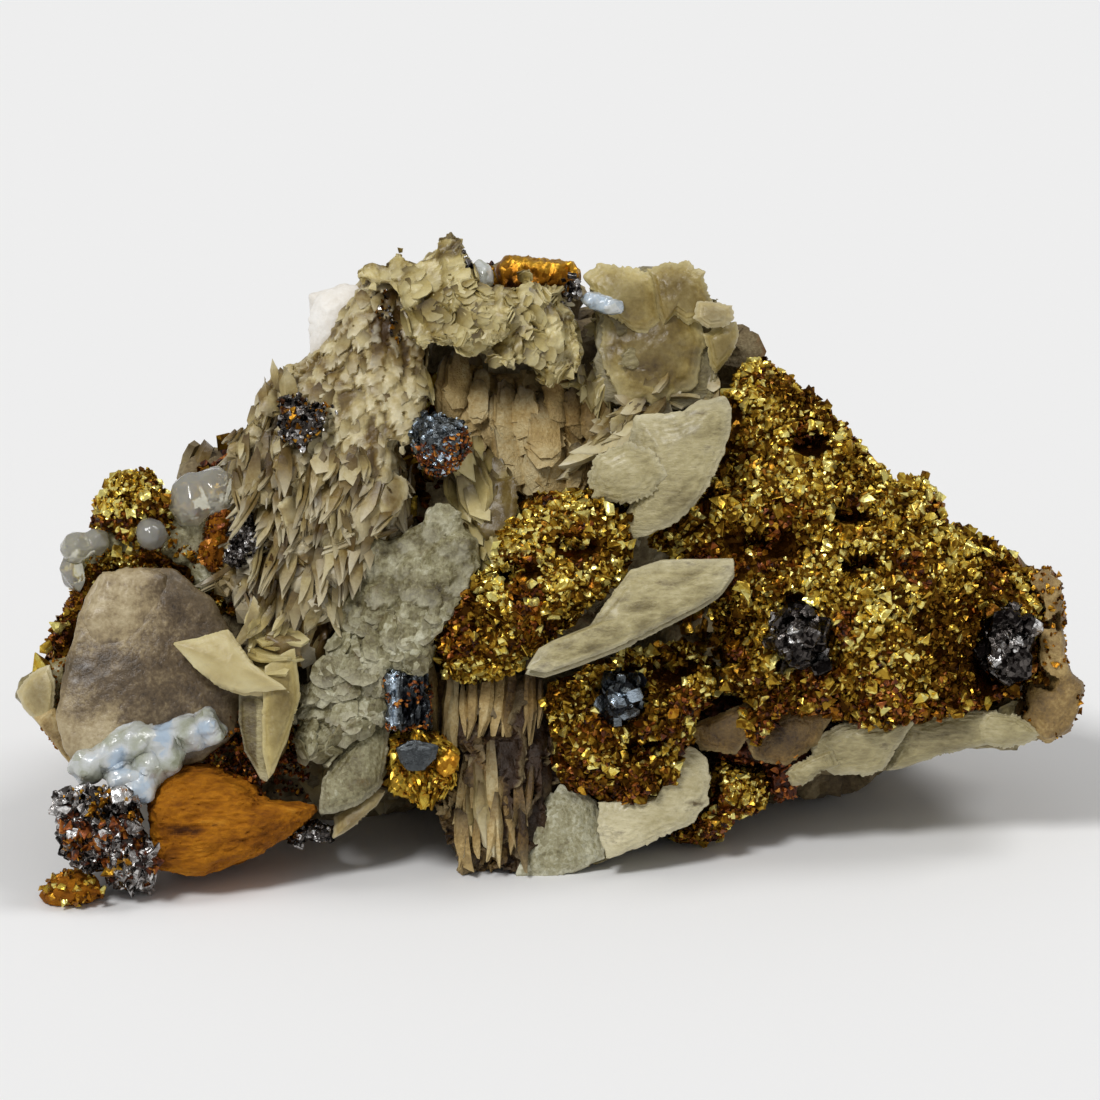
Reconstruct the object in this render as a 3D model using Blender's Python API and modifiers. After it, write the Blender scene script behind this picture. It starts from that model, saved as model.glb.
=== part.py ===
"""A chalcopyrite specimen: gold druses on a mass of pale bladed crystals, with dark crystals, clear blebs and rust.

Every place is in millimetres on the specimen's front face, from its middle foot: x across to the right, depth away
from the viewer, and z up the face. The face leans back from the ground by LEAN, and the underside is cut flat there.
Each piece is many closed forms fused into one. A piece is cut back by GAP from each one that is listed before it.
"""

import math
import random

import bmesh
import bpy
from mathutils import Matrix, Vector

MM = 0.001
LEAN = math.radians(18)
GAP = 0.6
VOXEL = 0.32
CUTTER_SHARE = 0.6
FINE_CUTTER = 160
FLAT = math.radians(1.5)


# The plate rock behind the face: (x, depth, z) of each boulder's middle, and its half sizes.
MATRIX_BOULDERS = (
    ((-14, 25, 27), (27, 19, 20)),
    ((4, 24, 35), (24, 17, 21)),
    ((-6, 22, 46), (17, 13, 14)),
    ((22, 23, 26), (22, 16, 16)),
    ((37, 20, 23), (13, 12, 9)),
    ((-33, 17, 22), (15, 13, 11)),
    ((8, 33, 14), (20, 13, 14)),
    ((-27, 30, 13), (18, 13, 12)),
    ((-8, 34, 14), (20, 13, 14)),
    ((12, 16, 50), (10, 9, 10)),
)
BACK_PLATES = 13
GROUND_SIZE = 400

SCALE_OUTLINE = ((-0.34, -0.3), (-0.5, 0.25), (0, 0.8), (0.5, 0.25), (0.34, -0.3))
LEAF_OUTLINE = ((-0.3, -0.5), (-0.5, 0), (-0.3, 0.42), (0.1, 0.5), (0.5, 0.1), (0.34, -0.42))
TETRAHEDRON_BASE = 0.943
TETRAHEDRON_HEIGHT = 1.333


# Forms. Each adds one closed form to a mesh that is still in millimetres.


def turn_to(normal, tip):
    """The turn that lays a form's Z along normal, and its Y as near to tip as that allows."""
    out = Vector(normal).normalized()
    side = Vector(tip).cross(out).normalized()
    return Matrix((side, out.cross(side), out)).transposed().to_4x4()


def on_face(outline, depth, slope):
    """Stands a flat outline on the face at this depth; slope is the depth gained for each millimetre right and up."""
    middle = sum(map(Vector, outline), Vector((0, 0))) / len(outline)
    start = depth - slope[0] * middle.x - slope[1] * middle.y
    return Matrix(((1, 0, 0, 0), (slope[0], slope[1], -1, start), (0, 1, 0, 0), (0, 0, 0, 1)))


def swelled(outline, swell):
    """The outline moved outwards by swell, square to its sides."""
    points = [Vector(point) for point in outline]
    area = sum(a.x * b.y - b.x * a.y for a, b in zip(points, points[1:] + points[:1]))
    away = math.copysign(swell, area)
    moved = []
    for before, here, after in zip(points[-1:] + points[:-1], points, points[1:] + points[:1]):
        first = (here - before).normalized()
        second = (after - here).normalized()
        corner = Vector((first.y + second.y, -first.x - second.x)).normalized()
        lean = max(0.5, corner.dot(Vector((first.y, -first.x))))
        moved.append(here + corner * away / lean)
    return moved


def loft(form, outline, rings, swell, place=Matrix()):
    """An outline at the first height, then a ring for each later one. A ring is a share of the outline and a height."""
    points = swelled(outline, swell)
    middle = sum(points, Vector((0, 0))) / len(points)
    share, height = rings[0]
    made = [form.verts.new((*(middle + (point - middle) * share), height - swell)) for point in points]
    cap = form.faces.new(made)
    for next_share, height in rings[1:]:
        extruded = bmesh.ops.extrude_face_region(form, geom=[cap])["geom"]
        if len(made) > len(points):
            bmesh.ops.delete(form, geom=[cap], context="FACES_ONLY")
        cap = next(item for item in extruded if isinstance(item, bmesh.types.BMFace))
        for vert in cap.verts:
            x, y = middle + (vert.co.xy - middle) * next_share / share
            vert.co = (x, y, height + swell)
        made.extend(cap.verts)
        share = next_share
    bmesh.ops.transform(form, matrix=place, verts=made)
    return made, cap


def slab(form, outline, depth, thickness, swell, slope=(0, 0), rim=0.85):
    """A flat plate of the outline as the viewer sees it, with a bevelled front rim."""
    edge = min(0.35 * thickness, 0.8)
    rings = ((0.92, -thickness), (1, -0.6 * thickness), (1, -edge), (rim, 0))
    loft(form, outline, rings, swell, on_face(outline, depth, slope))


def mound(form, rng, outline, depth, thickness, swell, slope=(0, 0), bulge=3.0, rough=0.5):
    """A swollen crust of the outline, its front raised by bulge and uneven by rough."""
    rings = ((0.8, -thickness), (1, -0.45 * thickness), (0.97, 0), (0.7, 0.7 * bulge), (0.36, bulge))
    made, cap = loft(form, outline, rings, swell, on_face(outline, depth, slope))
    for vert in made:
        vert.co += Vector([rng.uniform(-rough, rough) for _ in range(3)])
    bmesh.ops.triangulate(form, faces=[cap])


def lump(form, rng, at, radii, swell, rough=0.1, finer=1):
    """An uneven rounded lump."""
    made = bmesh.ops.create_icosphere(form, subdivisions=finer, radius=1)["verts"]
    for vert in made:
        vert.co *= 1 + rng.uniform(-rough, rough)
    size = Vector([radius + swell for radius in radii])
    spin = Matrix.Rotation(rng.uniform(-0.5, 0.5), 4, "Y")
    bmesh.ops.transform(form, matrix=Matrix.Translation(at) @ spin @ Matrix.Diagonal(size).to_4x4(), verts=made)


def crystal(form, rng, at, size, swell, blunt=0.0):
    """A four-faced chalcopyrite crystal, turned at random; blunt cuts its tip back."""
    grown = size + 3 * swell
    made = bmesh.ops.create_cone(
        form,
        cap_ends=True,
        segments=3,
        radius1=grown * TETRAHEDRON_BASE,
        radius2=grown * blunt,
        depth=grown * TETRAHEDRON_HEIGHT * (1 - blunt),
    )["verts"]
    turn = (rng.uniform(0, math.tau), rng.uniform(0, math.tau), rng.uniform(0, math.tau))
    spin = Matrix.Rotation(turn[0], 4, "X") @ Matrix.Rotation(turn[1], 4, "Y") @ Matrix.Rotation(turn[2], 4, "Z")
    bmesh.ops.transform(form, matrix=Matrix.Translation(at) @ spin, verts=made)


def block(form, rng, at, sizes, swell):
    """A cube-like dark crystal, turned a little at random."""
    made = bmesh.ops.create_cube(form, size=1)["verts"]
    size = Vector([side + 2 * swell for side in sizes])
    turn = (rng.uniform(0.2, 0.8), rng.uniform(-0.6, 0.6), rng.uniform(-0.6, 0.6))
    spin = Matrix.Rotation(turn[0], 4, "X") @ Matrix.Rotation(turn[1], 4, "Y") @ Matrix.Rotation(turn[2], 4, "Z")
    bmesh.ops.transform(form, matrix=Matrix.Translation(at) @ spin @ Matrix.Diagonal(size).to_4x4(), verts=made)


def blade(form, at, normal, tip, width, length, thickness, swell, outline=SCALE_OUTLINE):
    """A thin blade or scale that points along tip."""
    sized = [(x * width, y * length) for x, y in outline]
    rings = ((1, -0.5 * thickness), (0.8, 0.5 * thickness))
    loft(form, sized, rings, swell, Matrix.Translation(at) @ turn_to(normal, tip))


# Groups of forms over an area of the face.


def inside(x, z, area):
    """Whether a point of the face is inside the area."""
    crossings = 0
    for (x0, z0), (x1, z1) in zip(area, area[1:] + area[:1]):
        if (z0 > z) != (z1 > z) and x < x0 + (z - z0) / (z1 - z0) * (x1 - x0):
            crossings += 1
    return crossings % 2 == 1


def spots(rng, area, spacing):
    """Uneven rows of places inside the area, from its lowest row up, each row set off by half a step."""
    lowest, highest = min(z for _, z in area), max(z for _, z in area)
    left, right = min(x for x, _ in area), max(x for x, _ in area)
    z, offset = lowest, 0.0
    while z < highest:
        x = left + offset
        while x < right:
            place = (x + rng.uniform(-0.3, 0.3) * spacing, z + rng.uniform(-0.25, 0.25) * spacing)
            if inside(*place, area):
                yield place
            x += spacing
        z += 0.85 * spacing
        offset = 0.5 * spacing - offset


def shingles(form, rng, area, depth_at, tip, size, swell, spacing, lift=18, outline=SCALE_OUTLINE):
    """Scales that overlap like roof tiles and point along tip, their tips lifted off the face by lift degrees."""
    down = Vector((tip[0], 0, tip[1])).normalized()
    width, length, thickness = size
    for x, z in spots(rng, area, spacing):
        angle = math.radians(lift + rng.uniform(-9, 9))
        swing = Matrix.Rotation(rng.uniform(-0.3, 0.3), 3, "Y")
        along = swing @ (down * math.cos(angle) + Vector((0, -math.sin(angle), 0)))
        normal = swing @ (Vector((0, -math.cos(angle), 0)) - down * math.sin(angle))
        at = (x, depth_at(x, z) + rng.uniform(-0.4, 0.4), z)
        grade = rng.uniform(0.8, 1.2)
        blade(form, at, normal, along, width * grade, length * grade, thickness, swell, outline)


def druse(form, rng, area, depth_at, size, swell, spacing):
    """Chalcopyrite crystals over an area, sharp and blunt ones mixed."""
    for x, z in spots(rng, area, spacing):
        at = (x, depth_at(x, z) + rng.uniform(-0.3, 0.3), z)
        crystal(form, rng, at, size * rng.uniform(0.75, 1.25), swell, rng.choice((0, 0, 0.3)))


def dome(outline, depth, bulge, slope=(0, 0)):
    """The depth of a mound's front at a place, for what grows on it."""
    middle = sum(map(Vector, outline), Vector((0, 0))) / len(outline)
    reach = sum((Vector(point) - middle).length for point in outline) / len(outline)

    def depth_at(x, z):
        away = Vector((x, z)) - middle
        rise = bulge * max(0.0, 1 - (away.length / reach) ** 2)
        return depth + slope[0] * away.x + slope[1] * away.y - rise

    return depth_at


# The chalcopyrite druses.


def chalcopyrite_main(form, rng, swell):
    outline = (
        (18.5, 51.5), (21, 51.5), (25.5, 49.5), (28, 46.5), (30.5, 43.7), (34.5, 40), (38, 39), (39, 36),
        (41, 34.6), (44, 33.5), (47.5, 30.5), (49.5, 27), (48.5, 20), (45, 17.5), (40.5, 16.5), (36, 16),
        (31, 15.5), (26, 17), (22, 17.5), (18, 19), (17, 26), (14.5, 32), (10, 33.5), (16, 41), (17, 46),
    )
    slope = (0.1, 0.06)
    mound(form, rng, outline, 3, 9, swell, slope, bulge=4.5, rough=0.7)
    front = dome(outline, 2.6, 4.6, slope)
    druse(form, rng, outline, front, 1.75, swell, spacing=2.75)
    tip = (20, front(20, 16.6) + 2, 16.2)
    crystal(form, rng, tip, 3.2, swell)


def chalcopyrite_middle(form, rng, swell):
    outline = (
        (-1.5, 37.5), (3, 39), (7, 39), (8.3, 36.5), (8, 33), (6.5, 30), (3.5, 27.5), (0, 25), (-2.5, 22.5),
        (-5, 20.5), (-8, 19.8), (-11, 21), (-11.5, 24), (-10, 27), (-8, 30), (-5, 31.5), (-4.3, 34.5),
    )
    mound(form, rng, outline, -3, 8, swell, (-0.1, 0), bulge=3.5)
    druse(form, rng, outline, dome(outline, -3.2, 3.6, (-0.1, 0)), 1.6, swell, spacing=2.7)


def chalcopyrite_lower(form, rng, swell):
    outline = (
        (0, 19), (4, 21), (9, 22.5), (14, 23.5), (17, 20), (14.5, 16), (12.5, 13.5), (13, 10.5), (10.5, 8.6),
        (6.5, 8), (2.5, 9.5), (0.3, 12.5),
    )
    mound(form, rng, outline, 0, 8, swell, (0.05, -0.1), bulge=2.6)
    druse(form, rng, outline, dome(outline, -0.2, 2.7, (0.05, -0.1)), 1.55, swell, spacing=2.7)


def chalcopyrite_bottom(form, rng, swell):
    outline = ((17, 11.5), (21.5, 10.8), (22, 8), (19, 6.8), (16.5, 4.2), (13, 3.6), (12.5, 5.5), (15.5, 8))
    mound(form, rng, outline, 6, 8, swell, (-0.1, 0.1), bulge=1.6)
    druse(form, rng, outline, dome(outline, 5.8, 1.7, (-0.1, 0.1)), 1.45, swell, spacing=2.6)


def chalcopyrite_left(form, rng, swell):
    outline = ((-45.3, 37.8), (-43.8, 40.2), (-40.5, 40.3), (-38.2, 37.8), (-37.8, 34.8), (-41, 33.8), (-45.5, 35))
    mound(form, rng, outline, 1, 7, swell, bulge=1.5)
    druse(form, rng, outline, dome(outline, 0.8, 1.6), 1.4, swell, spacing=2.4)


def chalcopyrite_band(form, rng, swell):
    outline = (
        (-50.6, 20), (-49.5, 24.8), (-47.2, 31), (-44, 33.4), (-39.5, 33), (-35.5, 33.4), (-31, 32), (-31.2, 27),
        (-36.5, 29.6), (-41, 30.4), (-45.5, 29.5), (-47.5, 23.5), (-48.8, 20),
    )
    slab(form, outline, 2.2, 7, swell, rim=0.97)
    for x, z in outline[:8]:
        crystal(form, rng, (0.97 * (x + 40) - 40, 1.7, 0.97 * (z - 27) + 27), 1.7, swell)


# The bladed crystals.


def smoky_disc(form, rng, swell):
    outline = (
        (-45, 30.6), (-41, 31.2), (-37.6, 31.2), (-33.5, 28), (-31.3, 24), (-30.5, 19), (-31.5, 14.5), (-35, 11.5),
        (-41, 10.4), (-46.5, 10.6), (-48.4, 13), (-49.2, 16.5), (-48.6, 20), (-47.6, 24), (-46.5, 28),
    )
    slab(form, outline, -3.4, 5.5, swell, (0.1, 0.09), rim=0.9)


def tan_plate(form, rng, swell):
    outline = ((-47, 11), (-50.5, 14.8), (-53.5, 18.3), (-53, 19.9), (-50, 22), (-46.5, 22.6), (-43, 18), (-43, 12))
    slab(form, outline, -0.6, 8, swell, (-0.15, 0.1))


def lens_crystal(form, rng, swell):
    outline = ((-37.6, 23.7), (-32.2, 25), (-30.5, 22.6), (-28, 20.6), (-26, 19.2), (-29.5, 18.8), (-33, 19.7), (-35.6, 21.5))
    slab(form, outline, -6.6, 3.2, swell, (0, 0.12), rim=0.8)


def upright_blades(form, rng, swell):
    grey = ((-31.2, 18.9), (-28.2, 19.2), (-27.8, 13), (-28.4, 10.2), (-30.4, 12.6))
    tan = ((-28.6, 22), (-25.6, 23.5), (-24.9, 18), (-26.2, 13), (-28.2, 10.2), (-28.8, 15))
    slab(form, grey, -4.2, 6, swell, (-0.2, 0), rim=0.7)
    slab(form, tan, -4.8, 7, swell, (0.25, 0), rim=0.7)
    for step in range(4):
        blade(form, (-27.5, -4.6 + 0.2 * step, 24.6 - 0.9 * step), (0.15, -0.5, 1), (1, -0.2, 0), 3.4, 4.6, 0.7, swell)


def scaly_flank(form, rng, swell):
    outline = (
        (-27.5, 50.5), (-23.8, 52.6), (-22.2, 55.5), (-20.8, 58.4), (-18, 61), (-15, 60), (-12.5, 54), (-12, 48), (-15, 43.5),
        (-14.5, 40), (-15.5, 34), (-18, 30), (-21.5, 26), (-24, 24), (-26.5, 24.5), (-31, 27.5), (-33, 31),
        (-32, 37), (-31.5, 42), (-29.5, 46),
    )
    slope = (-0.06, 0.1)
    mound(form, rng, outline, 1.5, 8, swell, slope, bulge=4, rough=0.6)
    front = dome(outline, 1.2, 4.1, slope)
    shingles(form, rng, outline, front, (-0.5, -1), (2.9, 4.8, 0.9), swell, spacing=3.1, lift=24)
    blade(form, (-27.4, front(-27.4, 48), 47.6), (0.3, -1, 0.1), (0.1, 0, 1), 2.6, 5, 1, swell)


def white_plate(form, rng, swell):
    outline = ((-24.1, 58.6), (-20.4, 59.7), (-18, 58), (-19, 52), (-22.6, 50.6), (-24, 53))
    slab(form, outline, 5.4, 5, swell)


def hood(form, rng, swell):
    outline = (
        (-18.5, 60), (-17.2, 61.5), (-15, 61.2), (-12.5, 62.2), (-11, 63.2), (-8.5, 63.4), (-7.6, 61), (-5, 59),
        (-1, 58.4), (3, 58.2), (5.8, 56), (6.3, 52), (4, 50.5), (1, 49.8), (-3, 51.6), (-7, 53), (-11.5, 54.2),
        (-16, 55),
    )
    mound(form, rng, outline, 2, 9, swell, (0, 0.15), bulge=3.5)
    front = dome(outline, 1.6, 3.6, (0, 0.15))
    shingles(form, rng, outline, front, (0.55, -1), (3.6, 4.6, 1), swell, spacing=3.1, lift=30, outline=LEAF_OUTLINE)
    for step in range(7):
        at = (-10.5 + 2.4 * step, -0.6 + 0.25 * step, 54.4 - 0.55 * step)
        blade(form, at, (0.1, -0.45, 1), (0.5, -1, -0.4), 4, 5, 1, swell, LEAF_OUTLINE)


def cream_column(form, rng, swell):
    outline = ((2.5, 56), (5.5, 57), (7, 53), (6.5, 48), (4.5, 45.5), (2.6, 50))
    slab(form, outline, 3.6, 6, swell, (0.2, 0))


def granular_plate(form, rng, swell):
    outline = (
        (-16, 34), (-10, 37), (-7.2, 34), (-6.8, 31.5), (-8.8, 27.5), (-11, 25.5), (-12.3, 22), (-13, 20.5),
        (-15.5, 20), (-16.5, 19), (-17.2, 17.5), (-19, 15.5), (-22, 13.4), (-24, 12.8), (-24.8, 14), (-24.8, 18),
        (-21.5, 21.5), (-20.5, 28),
    )
    slab(form, outline, -3.4, 6, swell, (-0.12, 0.1), rim=0.93)
    shingles(form, rng, outline, dome(outline, -3.3, 0.6, (-0.12, 0.1)), (-0.4, -1), (4.6, 5, 0.8), swell, 4.4, 8, LEAF_OUTLINE)


def grey_disc(form, rng, swell):
    outline = ((-21, 15.5), (-17, 16), (-15.6, 12), (-17, 9), (-20, 7), (-22.8, 6.6), (-23, 11))
    slab(form, outline, -0.8, 5, swell, (0.05, 0.1))


def recess_blades(form, rng, swell):
    outline = ((-11, 52), (-1, 50), (5, 50), (6.5, 46), (3.5, 39.5), (-1.5, 38), (-5.5, 40), (-9.5, 45))
    slab(form, outline, 8.6, 5, swell, rim=0.95)
    for step in range(10):
        at = (-9 + 1.5 * step, 7.4 - 0.15 * step, 47.6 - 0.5 * step + rng.uniform(-0.6, 0.6))
        blade(form, at, (-0.8, -1, 0.2), (0.35, 0, -1), 3, 7.5, 0.9, swell, LEAF_OUTLINE)


def green_blades(form, rng, swell):
    for step in range(6):
        at = (-8 + 0.75 * step, 0.5 - 0.3 * step, 37.5 + 0.5 * math.cos(step))
        blade(form, at, (-1, -0.9, 0.25), (0.35, 0, -1), 3.2, 9.5 - 0.5 * step, 1.1, swell, LEAF_OUTLINE)
    lump(form, rng, (-6.2, 3.4, 38), (2.2, 3, 4), swell)


def upper_plates(form, rng, swell):
    outline = (
        (3.4, 60), (5, 61.7), (8, 61), (9, 61.8), (14, 61.8), (15.6, 59), (18.2, 57.4), (18.8, 54), (17, 51),
        (16.6, 48), (13, 47), (9, 49.5), (6, 50), (4, 54),
    )
    mound(form, rng, outline, 5, 9, swell, (0.05, 0.12), bulge=1.5, rough=0.3)
    round_left = ((3.6, 57.5), (5, 61.5), (8.4, 61), (10.4, 58.4), (9.8, 55), (6.4, 53.6))
    round_right = ((10.2, 60.8), (14, 61.8), (15.8, 59.2), (15.2, 56), (11.8, 55.2), (9.8, 57.6))
    slab(form, round_left, 2.6, 5, swell, (0.1, 0.1))
    slab(form, round_right, 3, 5, swell, (0.15, 0.12))
    for x, z in ((16.4, 56.4), (17, 54), (16.4, 51.6), (15.6, 49.4)):
        blade(form, (x, 4.4, z), (-0.9, -1, 0.3), (0.6, 0, -1), 3.4, 5, 1, swell, LEAF_OUTLINE)
    shingles(form, rng, ((5, 54), (14, 55), (15, 49), (9, 48.5)), dome(outline, 4.6, 1.6, (0.05, 0.12)), (-1, -0.4), (4, 5, 1), swell, 3.4, 15)


def oblique_stack(form, rng, swell):
    for step in range(4):
        at = (4.8 + 0.9 * step, 3.4 - 0.4 * step, 43.4 + 1.1 * step)
        blade(form, at, (-0.7, -1, 0.7), (-0.8, 0, -0.7), 2.6, 6.4, 1.1, swell)
    lump(form, rng, (6.8, 5.4, 45.2), (3, 3, 2.2), swell)


def disc_plate(form, rng, swell):
    large = (
        (8.5, 46.6), (13, 46.8), (15, 48), (17, 48.4), (18.2, 47.2), (18, 45), (17.2, 42.5), (16.2, 40), (15, 38),
        (13, 36), (10, 34.5), (7, 33.8), (6.8, 35), (8.2, 38), (6.6, 42),
    )
    slab(form, large, -3.2, 3.4, swell, (-0.1, 0.06), rim=0.93)
    small = ((3.6, 39.8), (4.4, 42.2), (7.4, 43.8), (10.4, 43), (11.6, 40.6), (10.2, 38.4), (7, 37.4), (4.4, 38))
    slab(form, small, -4.2, 2.6, swell, (-0.05, 0.08), rim=0.9)


def lens_blade(form, rng, swell):
    outline = (
        (-2.5, 21.2), (-1, 23.5), (4, 25.5), (6, 28.5), (8, 31), (11, 32), (18.4, 32.2), (18.3, 30.7), (17, 28.8),
        (15, 27.5), (11, 25.5), (7, 23.5), (3, 22), (-0.5, 20.8),
    )
    slab(form, outline, -6.4, 3.4, swell, (0.12, 0.3), rim=0.86)


def blade_column(form, rng, swell):
    outline = (
        (-12, 21), (-1, 21.5), (0.5, 16), (0.6, 8), (-1, 2), (-3.5, 0), (-6.5, 0.4), (-8.4, 1.4), (-9.8, 4),
        (-11, 8), (-9.2, 11), (-11.5, 15),
    )
    mound(form, rng, outline, 3.5, 8, swell, (0, -0.1), bulge=2, rough=0.3)
    front = dome(outline, 2.6, 2.4, (0, -0.1))
    for column, x in enumerate((-10, -7.8, -5.6, -3.4, -1.2)):
        for row, z in enumerate((17.5, 12.5, 7.2, 3.4)):
            if inside(x, z, outline):
                side = -0.75 if (column + row) % 2 else 0.55
                at = (x + rng.uniform(-0.5, 0.5), front(x, z), z + rng.uniform(-1, 1))
                blade(form, at, (side, -1, 0), (rng.uniform(-0.15, 0.15), 0, -1), 3, 7, 1.1, swell)


def bottom_disc(form, rng, swell):
    outline = (
        (15.8, 13), (16.4, 10), (16, 7), (13.6, 5), (11, 3.8), (8.5, 2.6), (5.5, 1.3), (1, 0.2), (-3, 0.2),
        (-3.4, 3), (-1, 8), (4, 11.5), (10, 13.5),
    )
    slab(form, outline, 3.4, 5, swell, (0.06, 0.16), rim=0.94)
    lobe = ((5, 4), (10, 5), (14, 8), (16, 12.6), (11, 13), (6, 9.5))
    slab(form, lobe, 2.6, 4, swell, (0.08, 0.16), rim=0.93)


def right_plates(form, rng, swell):
    outline = (
        (23.5, 10.4), (27, 11.2), (30, 10.8), (33, 10.2), (36, 11.2), (40.5, 12.8), (45, 13.2), (48, 13.5),
        (51.2, 13.8), (50.5, 17), (46, 19), (38, 18), (30, 17.5), (25, 15),
    )
    slab(form, outline, 8, 6, swell, (-0.05, -0.5), rim=0.92)
    for x, z in ((46, 14.6), (42.5, 14.4), (38.5, 13.8), (34.5, 13), (30.5, 12.6)):
        blade(form, (x, 7, z), (0.35, -1, -0.5), (0.7, 0, -0.7), 5, 6.4, 0.9, swell, LEAF_OUTLINE)


def tip_crust(form, rng, swell):
    outline = (
        (48.4, 30.5), (50, 31), (51.2, 30), (51.4, 27), (51.8, 22.5), (53, 19.5), (53.2, 17), (52.2, 14.8),
        (50, 13.8), (47.6, 16), (48.2, 20), (49, 25),
    )
    mound(form, rng, outline, 4.5, 9, swell, bulge=1.2, rough=0.3)


def brown_zone(form, rng, swell):
    outline = ((14.6, 17.5), (18, 18.4), (22, 17), (28, 16.5), (29, 14), (26, 11), (24.5, 8), (22.5, 8), (21, 11), (16, 12))
    mound(form, rng, outline, 6, 8, swell, bulge=1.2, rough=0.5)


# Clear blebs, rust and dark crystals.


def bleb_large(form, rng, swell):
    lump(form, rng, (-35.8, 1.4, 38), (2.4, 3, 2.7), swell, 0.05, 2)
    lump(form, rng, (-33.6, 1.8, 39), (2.3, 3, 2.4), swell, 0.05, 2)


def bleb_small(form, rng, swell):
    lump(form, rng, (-39.9, -0.4, 34.6), (1.5, 1.8, 1.5), swell, 0.04, 2)


def blebs_left(form, rng, swell):
    lump(form, rng, (-47.3, 0.6, 33.3), (1.6, 2.4, 1.5), swell, 0.05, 2)
    lump(form, rng, (-45.4, 1, 33.8), (1.5, 2.4, 1.4), swell, 0.05)
    lump(form, rng, (-47.8, 2.2, 30.6), (1.3, 2.6, 2), swell, 0.08)


def rust_ridge(form, rng, swell):
    for x, z in ((-32.6, 40), (-33.2, 37.4), (-33, 34.8), (-33.8, 32.4)):
        lump(form, rng, (x, 2.2, z), (1.5, 3.4, 1.9), swell, 0.16)


def clear_crust(form, rng, swell):
    places = (
        (-46, 11.4), (-44, 12.6), (-42.4, 13.6), (-40.6, 14.2), (-38.4, 14.6), (-36, 14.8), (-34, 15.3), (-42.8, 10.4),
        (-41, 9.6), (-40, 11.6), (-38, 12.6),
    )
    for x, z in places:
        lump(form, rng, (x, -5.4, z), (1.6, 2.2, 1.5), swell, 0.14)


def rust_chunk(form, rng, swell):
    outline = (
        (-40, 8), (-38, 11), (-36.4, 11.6), (-33.5, 11.3), (-30.5, 10), (-28, 7.8), (-23.2, 7.4), (-25, 5.4),
        (-29, 2.7), (-34.5, 0.8), (-37, 0.9), (-39.2, 1.3), (-39.6, 4),
    )
    rings = ((0.85, -13), (1, -7), (1, -1), (0.84, 0.6), (0.5, 1.6))
    loft(form, outline, rings, swell, on_face(outline, -6, (0.08, 0.2)))


def dark_blob(form, rng, swell):
    lump(form, rng, (-25.4, -1.4, 5.2), (2.6, 4, 1.6), swell, 0.14)
    lump(form, rng, (-22.8, -0.6, 4.8), (1.4, 3, 1.2), swell, 0.14)


def dark_cluster(form, rng, swell):
    lump(form, rng, (-44.6, -4, 5.4), (4.4, 5, 4), swell, 0.12, 2)
    lump(form, rng, (-42, -4.4, 2.4), (3.2, 4.6, 2.8), swell, 0.12, 2)
    for x, z in ((-48, 8), (-45.4, 8.4), (-42.6, 8.2), (-47.4, 5.2), (-44.4, 5.4), (-42, 5.6), (-46, 2.6), (-43, 2.4), (-40.6, 2)):
        block(form, rng, (x, -8, z), (2.2, 2.2, 2.2), swell)


def gold_tip(form, rng, swell):
    lump(form, rng, (-47.6, -5.6, -0.9), (3.2, 3.6, 2), swell, 0.14, 2)
    for x, z in ((-50, 0.4), (-49, -1.2), (-46.8, -1.6), (-45, -1), (-48.4, 0.6)):
        crystal(form, rng, (x, -8.4, z), 1.3, swell)


def dark_ball(form, rng, swell):
    lump(form, rng, (-11, -4.6, 43.7), (3, 3.2, 3), swell, 0.08, 2)


def dark_specks(form, rng, swell):
    for x, z in ((-25.6, 46.8), (-23.8, 46), (-25.2, 44.8)):
        block(form, rng, (x, -4, z), (2.4, 3, 2.4), swell)


def dark_grain(form, rng, swell):
    block(form, rng, (-30.2, -2, 34.6), (2.4, 4, 2.4), swell)
    block(form, rng, (-31.2, -1.6, 32.6), (2, 4, 2), swell)


def blue_crystal(form, rng, swell):
    outline = ((-16.4, 20.8), (-12.4, 20.6), (-12.2, 15.4), (-16, 15.2))
    slab(form, outline, -5.2, 7, swell, (0.3, 0))


def gold_plates(form, rng, swell):
    outline = ((-15.8, 14.9), (-11.4, 14.9), (-8.9, 12.4), (-9.6, 9.6), (-12.4, 8), (-15.6, 9.2))
    slab(form, outline, -3.6, 6, swell, (0.1, 0.1))
    for x, z in ((-14.8, 14.2), (-12.6, 14.4), (-10.4, 12.8), (-10.2, 10.2), (-12.6, 8.8), (-14.8, 10), (-13, 11.6)):
        crystal(form, rng, (x, -4.2, z), 1.4, swell)


def dark_crystal_right(form, rng, swell):
    lump(form, rng, (24.7, -2.6, 24.3), (2.5, 3.4, 3.3), swell, 0.08, 2)


def dark_crystal_tip(form, rng, swell):
    lump(form, rng, (45.6, 2, 23.6), (2.4, 3.4, 4), swell, 0.08, 2)


def dark_crystal_lower(form, rng, swell):
    lump(form, rng, (7, -3, 18.3), (2.1, 3, 2.6), swell, 0.1, 2)


def top_crust(form, rng, swell):
    outline = ((-5.4, 61.2), (-4, 62.4), (2, 61.8), (3, 60.4), (2, 58.6), (-4.6, 58.8))
    mound(form, rng, outline, 3, 6, swell, bulge=1, rough=0.2)


def pale_crystal(form, rng, swell):
    lump(form, rng, (-6.8, 3, 60.4), (1.3, 2.6, 1.7), swell, 0.1)


def white_crust(form, rng, swell):
    for x, z in ((4.4, 58), (6, 57.4)):
        lump(form, rng, (x, 1, z), (1.4, 1.8, 0.8), swell, 0.1)


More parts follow.
